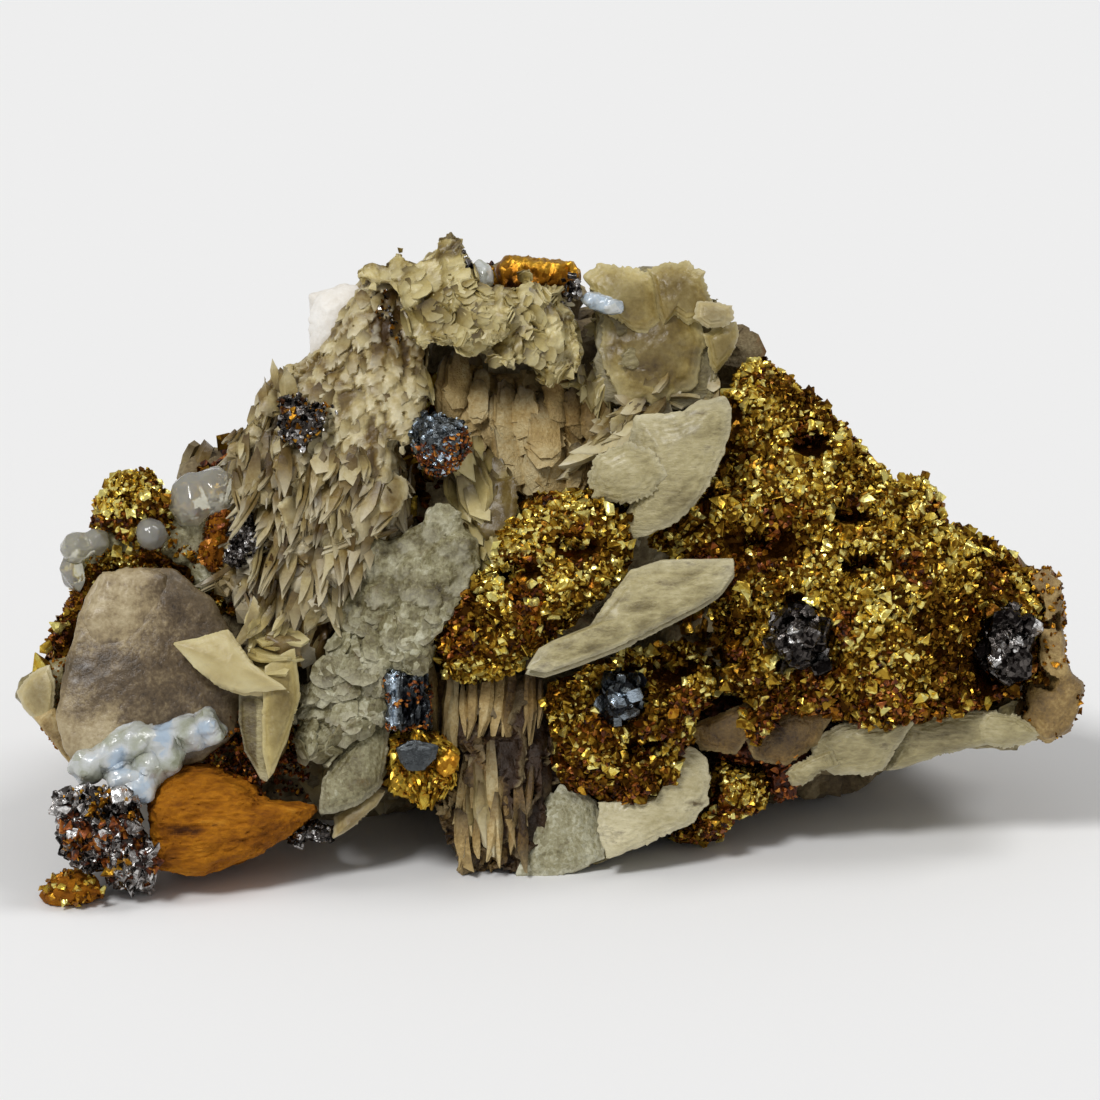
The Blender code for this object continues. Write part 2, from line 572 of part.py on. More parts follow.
def matrix(form, rng, swell):
    for at, radii in MATRIX_BOULDERS:
        lump(form, rng, at, radii, swell, 0.1, 2)
    for step in range(BACK_PLATES):
        turn = math.pi * (step + rng.uniform(0.2, 0.8)) / BACK_PLATES
        height = rng.choice((12, 26, 40)) + rng.uniform(-4, 4)
        away = Vector((-math.cos(turn), 0.6 * math.sin(turn), 0))
        reach = 31 - 0.012 * (height - 20) ** 2
        at = Vector((4 * math.cos(turn), 24, height)) + reach * away
        lean = rng.uniform(-0.7, 0.7)
        normal = (away.x + lean, away.y + 0.5, rng.uniform(-0.3, 0.6))
        blade(form, at, normal, (lean, -0.4, 1), 15, 17, 4.5, swell, LEAF_OUTLINE)


# Colour, metallic and roughness of each finish.
FINISHES = {
    "gold": ((0.45, 0.28, 0.05), 0.9, 0.35),
    "grey_plate": ((0.42, 0.38, 0.28), 0.0, 0.6),
    "tan_scale": ((0.4, 0.33, 0.21), 0.0, 0.65),
    "smoky": ((0.25, 0.2, 0.15), 0.0, 0.45),
    "dark_metal": ((0.06, 0.06, 0.08), 0.8, 0.3),
    "clear": ((0.8, 0.85, 0.78), 0.0, 0.15),
    "rust": ((0.4, 0.14, 0.03), 0.0, 0.85),
    "white": ((0.85, 0.83, 0.8), 0.0, 0.5),
    "rock": ((0.32, 0.28, 0.22), 0.0, 0.8),
}

# Each piece with its finish, from the front of the specimen to the rock behind: one is cut where an earlier one is.
PIECES = (
    (lens_crystal, "tan_scale"),
    (clear_crust, "clear"),
    (rust_chunk, "rust"),
    (gold_tip, "gold"),
    (dark_cluster, "dark_metal"),
    (dark_ball, "dark_metal"),
    (dark_specks, "dark_metal"),
    (dark_grain, "dark_metal"),
    (blue_crystal, "dark_metal"),
    (gold_plates, "gold"),
    (dark_crystal_right, "dark_metal"),
    (dark_crystal_tip, "dark_metal"),
    (dark_crystal_lower, "dark_metal"),
    (lens_blade, "grey_plate"),
    (disc_plate, "grey_plate"),
    (bleb_large, "clear"),
    (bleb_small, "clear"),
    (blebs_left, "clear"),
    (rust_ridge, "rust"),
    (smoky_disc, "smoky"),
    (upright_blades, "tan_scale"),
    (granular_plate, "grey_plate"),
    (green_blades, "tan_scale"),
    (scaly_flank, "tan_scale"),
    (top_crust, "rust"),
    (pale_crystal, "white"),
    (white_crust, "white"),
    (hood, "tan_scale"),
    (chalcopyrite_middle, "gold"),
    (chalcopyrite_lower, "gold"),
    (chalcopyrite_main, "gold"),
    (chalcopyrite_left, "gold"),
    (chalcopyrite_band, "gold"),
    (dark_blob, "dark_metal"),
    (blade_column, "tan_scale"),
    (bottom_disc, "grey_plate"),
    (chalcopyrite_bottom, "gold"),
    (grey_disc, "grey_plate"),
    (oblique_stack, "tan_scale"),
    (cream_column, "tan_scale"),
    (upper_plates, "grey_plate"),
    (recess_blades, "tan_scale"),
    (tip_crust, "rust"),
    (brown_zone, "rust"),
    (right_plates, "grey_plate"),
    (tan_plate, "tan_scale"),
    (white_plate, "white"),
    (matrix, "rock"),
)


# The triangles that each fused piece may keep before it is cut.
TRIANGLES = {
    "chalcopyrite_main": 1080,
    "chalcopyrite_middle": 440,
    "chalcopyrite_lower": 320,
    "chalcopyrite_bottom": 180,
    "chalcopyrite_left": 160,
    "chalcopyrite_band": 170,
    "clear_crust": 150,
    "gold_tip": 100,
    "dark_cluster": 220,
    "dark_specks": 50,
    "dark_grain": 30,
    "gold_plates": 130,
    "disc_plate": 100,
    "bleb_large": 80,
    "blebs_left": 80,
    "rust_ridge": 70,
    "upright_blades": 100,
    "granular_plate": 260,
    "green_blades": 130,
    "scaly_flank": 760,
    "white_crust": 30,
    "hood": 520,
    "dark_blob": 40,
    "blade_column": 300,
    "bottom_disc": 70,
    "oblique_stack": 70,
    "upper_plates": 260,
    "recess_blades": 170,
    "right_plates": 140,
    "matrix": 460,
}


def collection_named(name):
    made = bpy.data.collections.new(name)
    bpy.context.scene.collection.children.link(made)
    return made


def finish(name):
    colour, metallic, roughness = FINISHES[name]
    made = bpy.data.materials.get(name) or bpy.data.materials.new(name)
    made.use_nodes = True
    shader = made.node_tree.nodes["Principled BSDF"]
    shader.inputs["Base Color"].default_value = (*colour, 1)
    shader.inputs["Metallic"].default_value = metallic
    shader.inputs["Roughness"].default_value = roughness
    made.diffuse_color = (*colour, 1)
    return made


def object_of(form, name, collection):
    """An object with this mesh, scaled from millimetres."""
    bmesh.ops.recalc_face_normals(form, faces=form.faces)
    bmesh.ops.scale(form, vec=(MM, MM, MM), verts=form.verts)
    mesh = bpy.data.meshes.new(name)
    form.to_mesh(mesh)
    form.free()
    made = bpy.data.objects.new(name, mesh)
    collection.objects.link(made)
    return made


def grown_forms(build, swell):
    """The piece's forms, the same ones at every swell."""
    form = bmesh.new()
    build(form, random.Random(build.__name__), swell)
    return form


def islands(form):
    """The mesh's separate bodies, each as a list of faces. Bodies that only touch along an edge are separate."""
    left = set(form.faces)
    while left:
        body, edge = [], [left.pop()]
        while edge:
            face = edge.pop()
            body.append(face)
            for side in face.edges:
                for other in side.link_faces:
                    if other in left and len(side.link_faces) == 2:
                        left.remove(other)
                        edge.append(other)
        yield body


def evaluated(target):
    """Takes the target's modifiers into its mesh."""
    graph = bpy.context.evaluated_depsgraph_get()
    mesh = bpy.data.meshes.new_from_object(target.evaluated_get(graph))
    target.modifiers.clear()
    target.data = mesh


def largest_body(target):
    """Clears the small bodies that a cut left loose."""
    form = bmesh.new()
    form.from_mesh(target.data)
    bmesh.ops.dissolve_limit(form, angle_limit=FLAT, verts=form.verts, edges=form.edges)
    bmesh.ops.triangulate(form, faces=form.faces)
    bodies = sorted(islands(form), key=lambda body: sum(face.calc_area() for face in body))
    loose = [face for body in bodies[:-1] for face in body]
    bmesh.ops.delete(form, geom=loose, context="FACES")
    form.to_mesh(target.data)
    form.free()


def fused(build, swell, triangles, name, collection):
    """The piece's forms as one body of so many triangles, each form grown by swell. A single form stays as it is."""
    form = grown_forms(build, swell)
    single = len(list(islands(form))) == 1
    piece = object_of(form, name, collection)
    if single:
        return piece
    remesh = piece.modifiers.new("fuse", "REMESH")
    remesh.mode = "VOXEL"
    remesh.voxel_size = VOXEL * MM
    evaluated(piece)
    fewer = piece.modifiers.new("fewer", "DECIMATE")
    fewer.ratio = min(1.0, triangles / (2 * len(piece.data.polygons)))
    fewer.use_collapse_triangulate = True
    evaluated(piece)
    largest_body(piece)
    return piece


def cut(piece, cutters, scratch):
    """Cuts the piece where the cutters are."""
    meeting = [cutter for cutter in cutters if near(piece, cutter)]
    if not meeting:
        return
    for cutter in meeting:
        scratch.objects.link(cutter)
    modifier = piece.modifiers.new("cut", "BOOLEAN")
    modifier.operation = "DIFFERENCE"
    modifier.solver = "EXACT"
    modifier.operand_type = "COLLECTION"
    modifier.collection = scratch
    evaluated(piece)
    for cutter in meeting:
        scratch.objects.unlink(cutter)
    largest_body(piece)


def box_of(item):
    corners = [vert.co for vert in item.data.vertices]
    return [(min(c[axis] for c in corners), max(c[axis] for c in corners)) for axis in range(3)]


def near(piece, other):
    """Whether the two objects' boxes meet."""
    return all(low < top and bottom < high for (low, high), (bottom, top) in zip(box_of(piece), box_of(other)))


def ground_cutter(helpers):
    """A block with its top on the ground, in the face's own frame."""
    form = bmesh.new()
    bmesh.ops.create_cube(form, size=GROUND_SIZE)
    bmesh.ops.translate(form, vec=(0, 0, -GROUND_SIZE / 2), verts=form.verts)
    bmesh.ops.rotate(form, matrix=Matrix.Rotation(LEAN, 3, "X"), verts=form.verts)
    return object_of(form, "ground_cutter", helpers)


def main():
    for old in list(bpy.data.objects):
        bpy.data.objects.remove(old, do_unlink=True)
    specimen = collection_named("chalcopyrite")
    helpers = collection_named("cutters")
    scratch = collection_named("scratch")

    cutters = [ground_cutter(helpers)]
    pieces = []
    for build, finish_name in PIECES:
        triangles = TRIANGLES.get(build.__name__)
        piece = fused(build, 0, triangles, build.__name__, specimen)
        cut(piece, cutters, scratch)
        piece.data.name = piece.name
        piece.data.materials.clear()
        piece.data.materials.append(finish(finish_name))
        pieces.append(piece)
        coarse = triangles and min(triangles, max(FINE_CUTTER, CUTTER_SHARE * triangles))
        cutters.append(fused(build, GAP, coarse, build.__name__ + "_cutter", helpers))
    bpy.data.collections.remove(scratch)

    stand = bpy.data.objects.new("stand", None)
    specimen.objects.link(stand)
    stand.rotation_euler = (-LEAN, 0, 0)
    for item in (*pieces, *cutters):
        item.parent = stand
    bpy.context.view_layer.update()
    corners = [piece.matrix_world @ vert.co for piece in pieces for vert in piece.data.vertices]
    for axis in (0, 1):
        across = [corner[axis] for corner in corners]
        stand.location[axis] = -(min(across) + max(across)) / 2
    helpers.hide_render = True
    for cutter in cutters:
        cutter.hide_render = True
        cutter.display_type = "WIRE"


main()
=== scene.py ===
"""The chalcopyrite specimen as the eye sees it: gold druses, scaly blades, plates, dark crystals and blebs.

Shapes are worked out in millimetres on the specimen's front face: x to the right, depth away from the viewer,
z up. FACE then stands them in the world. Each piece takes the place of the CAD node with its name.
"""

import math

import bmesh
import bpy
import numpy as np
from mathutils import Matrix, Vector, noise
from mathutils.bvhtree import BVHTree


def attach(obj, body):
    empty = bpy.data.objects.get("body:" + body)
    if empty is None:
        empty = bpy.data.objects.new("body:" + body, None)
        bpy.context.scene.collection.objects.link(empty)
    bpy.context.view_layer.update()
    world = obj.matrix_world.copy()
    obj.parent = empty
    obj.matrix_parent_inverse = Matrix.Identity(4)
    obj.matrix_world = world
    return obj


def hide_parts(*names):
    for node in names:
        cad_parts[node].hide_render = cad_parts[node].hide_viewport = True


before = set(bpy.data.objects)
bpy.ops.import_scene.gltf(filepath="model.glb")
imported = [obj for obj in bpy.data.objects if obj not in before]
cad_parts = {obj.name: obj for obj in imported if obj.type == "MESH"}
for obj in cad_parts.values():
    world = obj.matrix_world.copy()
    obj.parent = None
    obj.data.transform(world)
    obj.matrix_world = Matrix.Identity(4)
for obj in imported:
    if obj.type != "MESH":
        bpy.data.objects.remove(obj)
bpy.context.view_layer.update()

MM_PER_M = 1000
LEAN = math.radians(18)
FOOT = (0.000145, -0.023288, 0.0)
FACE = Matrix.Translation(FOOT) @ Matrix.Rotation(-LEAN, 4, "X") @ Matrix.Scale(1 / MM_PER_M, 4)
CAMERA_AIM = (0, 0, 33)
CAMERA_AWAY = 1.1
FRAME_WIDTH = 0.110
SENSOR = 36
CREASE = math.radians(38)
VIEWER = np.array((0.0, -1.0, 0.0))
OVER_FLOOR = 0.0006
FLOOR_SIZE = 4
FLOOR_COLOUR = (0.87, 0.87, 0.87, 1)
WORLD_LIGHT = 0.36
BUMP_DEPTH = 0.0003
TRIES_PER_CELL = 3
RAY_START = 0.9
SIZE_SPREAD = (0.6, 1.35)
DIRECTIONS = 720
MEDIUM = {"segments": 96, "rings": 32}
COARSE = {"segments": 72, "rings": 24}
OVAL_TURNS = np.linspace(0, 5.6, 9)


# Arrays and chance.


def arrays_of(form):
    """A mesh's points and triangles. The mesh is freed."""
    bmesh.ops.triangulate(form, faces=form.faces)
    form.verts.index_update()
    points = np.array([vert.co for vert in form.verts])
    faces = np.array([[vert.index for vert in face.verts] for face in form.faces])
    form.free()
    return points, faces


def unit(vectors):
    return vectors / np.maximum(np.linalg.norm(vectors, axis=-1, keepdims=True), 1e-9)


def drift(points, size, start=0.0):
    """Smooth chance from about -1 to 1 at each point, with features of this size."""
    shift = Vector((start, 2.3 * start, 7.1))
    return np.array([noise.noise(Vector(point) / size + shift) for point in points])


def turns_from(out, tip):
    """Turns that lay a form's Z along out, and its Y as near to tip as that allows."""
    out = unit(out)
    side = unit(np.cross(tip, out))
    return np.stack((side, np.cross(out, side), out), axis=-1)


def sway(points, size):
    """A smooth uneven shift of each point, with features of this size. It is quicker than drift."""
    turn = np.array(((1.0, 0.6, -0.4), (-0.5, 1.0, 0.7), (0.6, -0.7, 1.0))) * 2.4 / size
    waves = np.sin(points @ turn + np.array((0.4, 2.1, 4.0)))
    return 0.6 * waves + 0.4 * np.sin(1.9 * points[:, (1, 2, 0)] @ turn + waves)


def any_turns(rng, count):
    """Turns with no order."""
    return turns_from(rng.normal(size=(count, 3)), rng.normal(size=(count, 3)))


# Forms that are repeated. Each is (points, triangles, tips), and tips goes from 0 at its root to 1.


def blade_form(widths, cup, bend, ragged=0.05, finer=1):
    """A thin blade from its root at -0.5 to its tip at 0.5. widths are shares of its full width."""
    chance = np.random.default_rng(int(100 * (sum(widths) + cup + bend + 9)))
    form = bmesh.new()
    bmesh.ops.create_grid(form, x_segments=round(2 * finer), y_segments=round(4 * finer), size=0.5)
    rows = np.linspace(-0.5, 0.5, len(widths))
    for vert in form.verts:
        width = np.interp(vert.co.y, rows, widths)
        vert.co.z = -cup * (2 * vert.co.x) ** 2 - bend * (vert.co.y + 0.5) ** 2
        vert.co.y -= 0.3 * (2 * vert.co.x) ** 2 * max(0, vert.co.y)
        vert.co.x *= width
        vert.co.xy += Vector(chance.normal(0, ragged / finer, 2))
    sides = bmesh.ops.extrude_face_region(form, geom=form.faces[:])["geom"]
    moved = [item for item in sides if isinstance(item, bmesh.types.BMVert)]
    bmesh.ops.translate(form, verts=moved, vec=(0, 0, -1))
    for vert in moved:
        vert.co.xy *= 0.94
    bmesh.ops.recalc_face_normals(form, faces=form.faces)
    points, faces = arrays_of(form)
    return points, faces, np.clip(points[:, 1] + 0.5, 0, 1)


def whole_form(form):
    points, faces = arrays_of(form)
    return points, faces, np.ones(len(points))


def sphenoid_form(blunt):
    """A chalcopyrite crystal: a four-faced wedge with narrow bevelled edges."""
    form = bmesh.new()
    bmesh.ops.create_cone(
        form, cap_ends=True, segments=3, radius1=0.94, radius2=blunt, depth=1.33 * (1 - 0.8 * blunt)
    )
    bmesh.ops.bevel(
        form, geom=form.edges[:], offset=0.07, segments=1, profile=0.5, affect="EDGES", material=-1
    )
    bmesh.ops.recalc_face_normals(form, faces=form.faces)
    return whole_form(form)


def block_form(sides, cut):
    """A cube-like crystal with its edges cut back."""
    form = bmesh.new()
    bmesh.ops.create_cube(form, size=1.2)
    bmesh.ops.scale(form, vec=sides, verts=form.verts)
    bmesh.ops.bevel(
        form, geom=form.edges[:], offset=cut, segments=1, profile=0.5, affect="EDGES", material=-1
    )
    return whole_form(form)


def shard_form(seed, sides, corners=10):
    """A broken crystal with uneven flat faces."""
    form = bmesh.new()
    for place in unit(np.random.default_rng(seed).normal(size=(corners, 3))) * sides:
        form.verts.new(0.65 * place)
    bmesh.ops.convex_hull(form, input=form.verts)
    bmesh.ops.recalc_face_normals(form, faces=form.faces)
    return whole_form(form)


LEAVES = (
    blade_form((0.5, 0.85, 1.0, 0.8, 0.12), 0.35, 0.3),
    blade_form((0.6, 0.95, 1.0, 0.6, 0.05), 0.6, 0.9),
    blade_form((0.55, 0.8, 1.0, 0.92, 0.4), 0.5, -0.5),
    blade_form((0.4, 0.7, 1.0, 0.95, 0.3), 0.2, 1.2),
)
ROUNDS = (
    blade_form((0.7, 0.95, 1.0, 0.92, 0.5), 0.5, 0.4),
    blade_form((0.8, 1.0, 1.0, 0.85, 0.45), 0.8, 0.8),
    blade_form((0.6, 0.9, 1.0, 0.98, 0.62), 0.3, -0.3, 0.08),
)
POINTS = (
    blade_form((0.35, 0.75, 1.0, 0.7, 0.06), 0.9, 0.5, 0.04),
    blade_form((0.45, 0.85, 1.0, 0.6, 0.03), 1.3, -0.4, 0.04),
    blade_form((0.5, 0.7, 0.9, 0.8, 0.1), 0.5, 1.0, 0.06),
)
BROADS = (
    blade_form((0.6, 0.8, 0.95, 1.0, 0.98, 0.92, 0.7), 0.5, 0.4, finer=1.25),
    blade_form((0.5, 0.8, 1.0, 1.0, 0.94, 0.82, 0.5), 0.8, 0.8, finer=1.25),
    blade_form((0.55, 0.75, 0.9, 1.0, 0.96, 0.92, 0.75), 0.3, -0.4, 0.08, finer=1.25),
)
LOBES = (
    blade_form((0.5, 0.75, 0.92, 1.0, 1.0, 0.96, 0.86), 0.6, 0.5, 0.08, 2),
    blade_form((0.45, 0.7, 0.9, 1.0, 1.0, 0.93, 0.78), 0.9, 0.8, 0.08, 2),
)
SHARD_SIDES = ((1, 1, 1), (1.3, 0.9, 0.7), (1, 1, 0.6), (1.2, 0.7, 0.9))
SHARDS = tuple(shard_form(seed, sides) for seed, sides in enumerate(SHARD_SIDES, 1))
SPHENOIDS = (sphenoid_form(0.3), *SHARDS)
BLOCKS = (block_form((1.2, 0.8, 0.6), 0.12), block_form((1, 0.9, 0.5), 0.3), *SHARDS)


# A ground is a fine surface, and a piece gathers all the forms that grow on it.


class Ground:
    """A fine surface: its points, its triangles with their areas, and the way out at each point."""

    def __init__(self, points, faces):
        self.points, self.faces = points, faces
        corners = points[faces]
        across = np.cross(corners[:, 1] - corners[:, 0], corners[:, 2] - corners[:, 0])
        self.areas = np.linalg.norm(across, axis=1) / 2
        outs = np.zeros_like(points)
        for corner in range(3):
            np.add.at(outs, faces[:, corner], across)
        self.outs = unit(outs)


def refined(form, voxel, swell=0.0, bumps=()):
    """The mesh as one fine closed surface. bumps are (feature size, height) pairs of uneven relief."""
    mesh = bpy.data.meshes.new("rough")
    form.to_mesh(mesh)
    form.free()
    rough = bpy.data.objects.new("rough", mesh)
    bpy.context.scene.collection.objects.link(rough)
    remesh = rough.modifiers.new("fine", "REMESH")
    remesh.mode = "VOXEL"
    remesh.voxel_size = voxel
    if swell:
        grow = rough.modifiers.new("grow", "DISPLACE")
        grow.strength = swell
        grow.mid_level = 0
    for size, height in bumps:
        relief = rough.modifiers.new("relief", "DISPLACE")
        relief.texture = bpy.data.textures.new("relief", "CLOUDS")
        relief.texture.noise_scale = size
        relief.texture.noise_depth = 2
        relief.strength = 2 * height
    evaluated = rough.evaluated_get(bpy.context.evaluated_depsgraph_get())
    fine = evaluated.to_mesh()
    fine.calc_loop_triangles()
    points = np.empty(len(fine.vertices) * 3, np.float32)
    fine.vertices.foreach_get("co", points)
    faces = np.empty(len(fine.loop_triangles) * 3, np.int32)
    fine.loop_triangles.foreach_get("vertices", faces)
    evaluated.to_mesh_clear()
    bpy.data.objects.remove(rough)
    bpy.data.meshes.remove(mesh)
    return Ground(points.reshape(-1, 3).astype(float), faces.reshape(-1, 3))


def node_form(name):
    """The CAD node's solid, in millimetres on the face."""
    form = bmesh.new()
    form.from_mesh(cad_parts[name].data)
    bmesh.ops.remove_doubles(form, verts=form.verts, dist=1e-6)
    bmesh.ops.transform(form, matrix=FACE.inverted(), verts=form.verts)
    return form


def fused_beads(places, radii, voxel, bumps=()):
    """Round lumps grown into one another."""
    form = bmesh.new()
    for place, radius in zip(places, radii):
        made = bmesh.ops.create_icosphere(form, subdivisions=3, radius=1)["verts"]
        bmesh.ops.transform(
            form, matrix=Matrix.Translation(place) @ Matrix.Diagonal(radius).to_4x4(), verts=made
        )
    return refined(form, voxel, bumps=bumps)


def solid_tree():
    """All the CAD solids, to find out which places are covered."""
    form = bmesh.new()
    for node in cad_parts.values():
        form.from_mesh(node.data)
    bmesh.ops.transform(form, matrix=FACE.inverted(), verts=form.verts)
    tree = BVHTree.FromBMesh(form)
    form.free()
    return tree


def to_front(at, out):
    return out[:, 1] < 0.35


def to_sides(at, out):
    return out[:, 1] < 0.75


COVERED = solid_tree()


def facing(at):
    """The places, with the way to the viewer at each."""
    return np.array(at, float), np.tile(VIEWER, (len(at), 1))


def single(at, out):
    """One place and the way out there."""
    return np.array([at], float), np.array([out], float)


def raised(places, picked, height):
    """Some of the places, lifted off the ground by height."""
    at, out = places
    return at[picked] + height * out[picked], out[picked]


def patchy(level, depth=0.22, size=4.0, start=4.4):
    """Tones that drift over the piece about a level."""
    return lambda at: level + depth * drift(at, size, start)


def bell(at, x, z, wide, high):
    """1 at (x, z), as the viewer sees it, and near 0 past the half width and half height."""
    return np.exp(-(((at[:, 0] - x) / wide) ** 2) - ((at[:, 2] - z) / high) ** 2)


def always(*size):
    """A size that is the same everywhere."""
    return lambda at: np.tile(size, (len(at), 1))


def downward(at, aside):
    """The way down at each place, with a share to the right."""
    return np.column_stack((aside, np.zeros(len(at)), -np.ones(len(at))))


def near(at, x, z, reach):
    """Which places are within reach of (x, z), as the viewer sees them."""
    return np.hypot(at[:, 0] - x, at[:, 2] - z) < reach


def along_surface(out, tip):
    """The tip's direction flattened onto the surface at each place."""
    tip = np.broadcast_to(tip, out.shape)
    return unit(tip - out * (tip * out).sum(axis=1, keepdims=True))


def front_at(ground, x, z):
    """How deep the ground's front is at each place the viewer sees."""
    here = near(ground.points, x, z, 1.0)
    return ground.points[here, 1].min() if here.any() else 0.0


def around(rng, count, deep):
    """Smooth chance around a full turn, from about -1 to 1."""
    waves = rng.normal(size=count)
    turn = np.linspace(0, 1, DIRECTIONS, endpoint=False)
    index = turn * count
    low = np.floor(index).astype(int)
    share = index - low
    share = share * share * (3 - 2 * share)
    return deep * 0.6 * (waves[low % count] * (1 - share) + waves[(low + 1) % count] * share)


def reach_of(corners, rounding):
    """How far the outline is from its middle in each direction."""
    turn = np.linspace(-math.pi, math.pi, DIRECTIONS, endpoint=False)
    way = np.column_stack((np.cos(turn), np.sin(turn)))
    best = np.zeros(DIRECTIONS)
    for a, b in zip(corners, np.roll(corners, -1, axis=0)):
        run = b - a
        cross = way[:, 0] * run[1] - way[:, 1] * run[0]
        cross = np.where(np.abs(cross) < 1e-9, 1e-9, cross)
        far = (a[0] * run[1] - a[1] * run[0]) / cross
        share = (a[0] * way[:, 1] - a[1] * way[:, 0]) / cross
        hit = (share >= -1e-6) & (share <= 1 + 1e-6) & (far > best)
        best = np.where(hit, far, best)
    weights = np.hanning(rounding)
    padded = np.concatenate((best[-rounding:], best, best[:rounding]))
    return np.convolve(padded, weights / weights.sum(), "same")[rounding:-rounding]


class Piece:
    """One piece while it grows: its own chance, and all the forms that it has so far."""

    def __init__(self, name, seed):
        self.name, self.rng = name, np.random.default_rng(seed)
        self.points, self.faces, self.tones, self.tips, self.finishes = [], [], [], [], []
        self.total = 0

    def add(self, points, faces, finish, tones, tips):
        self.points.append(points)
        self.faces.append(faces + self.total)
        tones = np.broadcast_to(tones, len(points)) if np.size(tones) != len(faces) else np.array(tones)
        self.tones.append(tones if len(tones) == len(faces) else tones[faces].mean(axis=1))
        self.tips.append(np.broadcast_to(tips, len(points)))
        self.finishes.append((finish, len(faces)))
        self.total += len(points)

    def stamp(self, forms, at, turns, sizes, finish, tones, warp=0.0, facets=0.0):
        """One of the forms at each place, its points swayed by warp and its sides' tones apart by facets,
        which is partly each face's own tarnish and partly painted glints.
        """
        chosen = self.rng.integers(len(forms), size=len(at))
        for number, (points, faces, tips) in enumerate(forms):
            here = chosen == number
            count = int(here.sum())
            if not count:
                continue
            sized = sizes[here][:, None, :] * points[None]
            placed = np.einsum("nij,nvj->nvi", turns[here], sized) + at[here][:, None, :]
            placed = placed.reshape(-1, 3)
            if warp:
                placed = placed + warp * sway(placed, 2.2) + 0.4 * warp * sway(placed, 0.8)
            steps = (np.arange(count) * len(points))[:, None, None]
            a, b, c = (points[faces[:, corner]] for corner in range(3))
            sides = np.unique(
                np.round(unit(np.cross(b - a, c - a)), 1), axis=0, return_inverse=True
            )[1].ravel()
            # Each side's tone differs: partly its own tarnish, partly painted glints.
            apart = self.rng.uniform(-facets, facets, (count, sides.max() + 1))[:, sides]
            self.add(
                placed,
                (faces[None] + steps).reshape(-1, 3),
                finish,
                (tones[here][:, None] + apart).ravel(),
                np.tile(tips, count),
            )

    def settle(self):
        """The piece as an object in the world. Nothing of it goes under the ground."""
        points = np.concatenate(self.points)
        faces = np.concatenate(self.faces)
        turn = np.array(FACE)
        points = points @ turn[:3, :3].T + turn[:3, 3]
        points[:, 2] = np.maximum(points[:, 2], 0)
        mesh = bpy.data.meshes.new(self.name + "_grown")
        mesh.vertices.add(len(points))
        mesh.vertices.foreach_set("co", points.astype(np.float32).ravel())
        mesh.loops.add(faces.size)
        mesh.loops.foreach_set("vertex_index", faces.astype(np.int32).ravel())
        mesh.polygons.add(len(faces))
        mesh.polygons.foreach_set("loop_start", np.arange(0, faces.size, 3, dtype=np.int32))
        used = list(dict.fromkeys(finish for finish, _ in self.finishes))
        for finish in used:
            mesh.materials.append(bpy.data.materials[finish])
        slots = np.concatenate([np.full(count, used.index(finish)) for finish, count in self.finishes])
        mesh.polygons.foreach_set("material_index", slots.astype(np.int32))
        mesh.update(calc_edges=True)
        for label, values, domain in (("tone", self.tones, "FACE"), ("tip", self.tips, "POINT")):
            layer = mesh.attributes.new(label, "FLOAT", domain)
            layer.data.foreach_set("value", np.concatenate(values).astype(np.float32))
        mesh.polygons.foreach_set("use_smooth", np.ones(len(faces), dtype=bool))
        mesh.set_sharp_from_angle(angle=CREASE)
        grown = bpy.data.objects.new(self.name + "_grown", mesh)
        bpy.context.scene.collection.objects.link(grown)
        return grown

    def ground(self, voxel=0.35, swell=0.0, bumps=((2.5, 0.35), (0.7, 0.12))):
        """The CAD solid of this piece as a fine surface."""
        return refined(node_form(self.name), voxel, swell, bumps)

    def lay(self, ground, finish, tones=0.4, tips=0.3):
        self.add(
            ground.points, ground.faces, finish, tones(ground.points) if callable(tones) else tones, tips
        )

    def skin(self, finish, tones=0.4, tips=0.3, *shape):
        """The ground of this shape, already laid."""
        ground = self.ground(*shape)
        self.lay(ground, finish, tones, tips)
        return ground

    def sow(self, ground, spacing, keep=None, open_for=2.0):
        """Places over the ground about spacing apart that nothing covers, and the way out at each."""
        count = int(TRIES_PER_CELL * ground.areas.sum() / spacing**2)
        picked = self.rng.choice(len(ground.areas), count, p=ground.areas / ground.areas.sum())
        share = self.rng.random((count, 2))
        share = np.where(share.sum(axis=1, keepdims=True) > 1, 1 - share, share)
        share = np.column_stack((1 - share.sum(axis=1), share))
        faces = ground.faces[picked]
        at = (ground.points[faces] * share[..., None]).sum(axis=1)
        out = unit(ground.outs[faces].sum(axis=1))
        _, first = np.unique(np.floor(at / spacing).astype(int), axis=0, return_index=True)
        first = self.rng.permutation(first)
        at, out = at[first], out[first]
        if keep is not None:
            kept = keep(at, out)
            at, out = at[kept], out[kept]
        lifted = at @ np.array(FACE)[:3, :3].T + np.array(FACE)[:3, 3]
        free = lifted[:, 2] > OVER_FLOOR
        for number in np.nonzero(free)[0]:
            start = Vector(at[number] + RAY_START * out[number])
            free[number] = COVERED.ray_cast(start, Vector(out[number]), open_for)[0] is None
        return at[free], out[free]

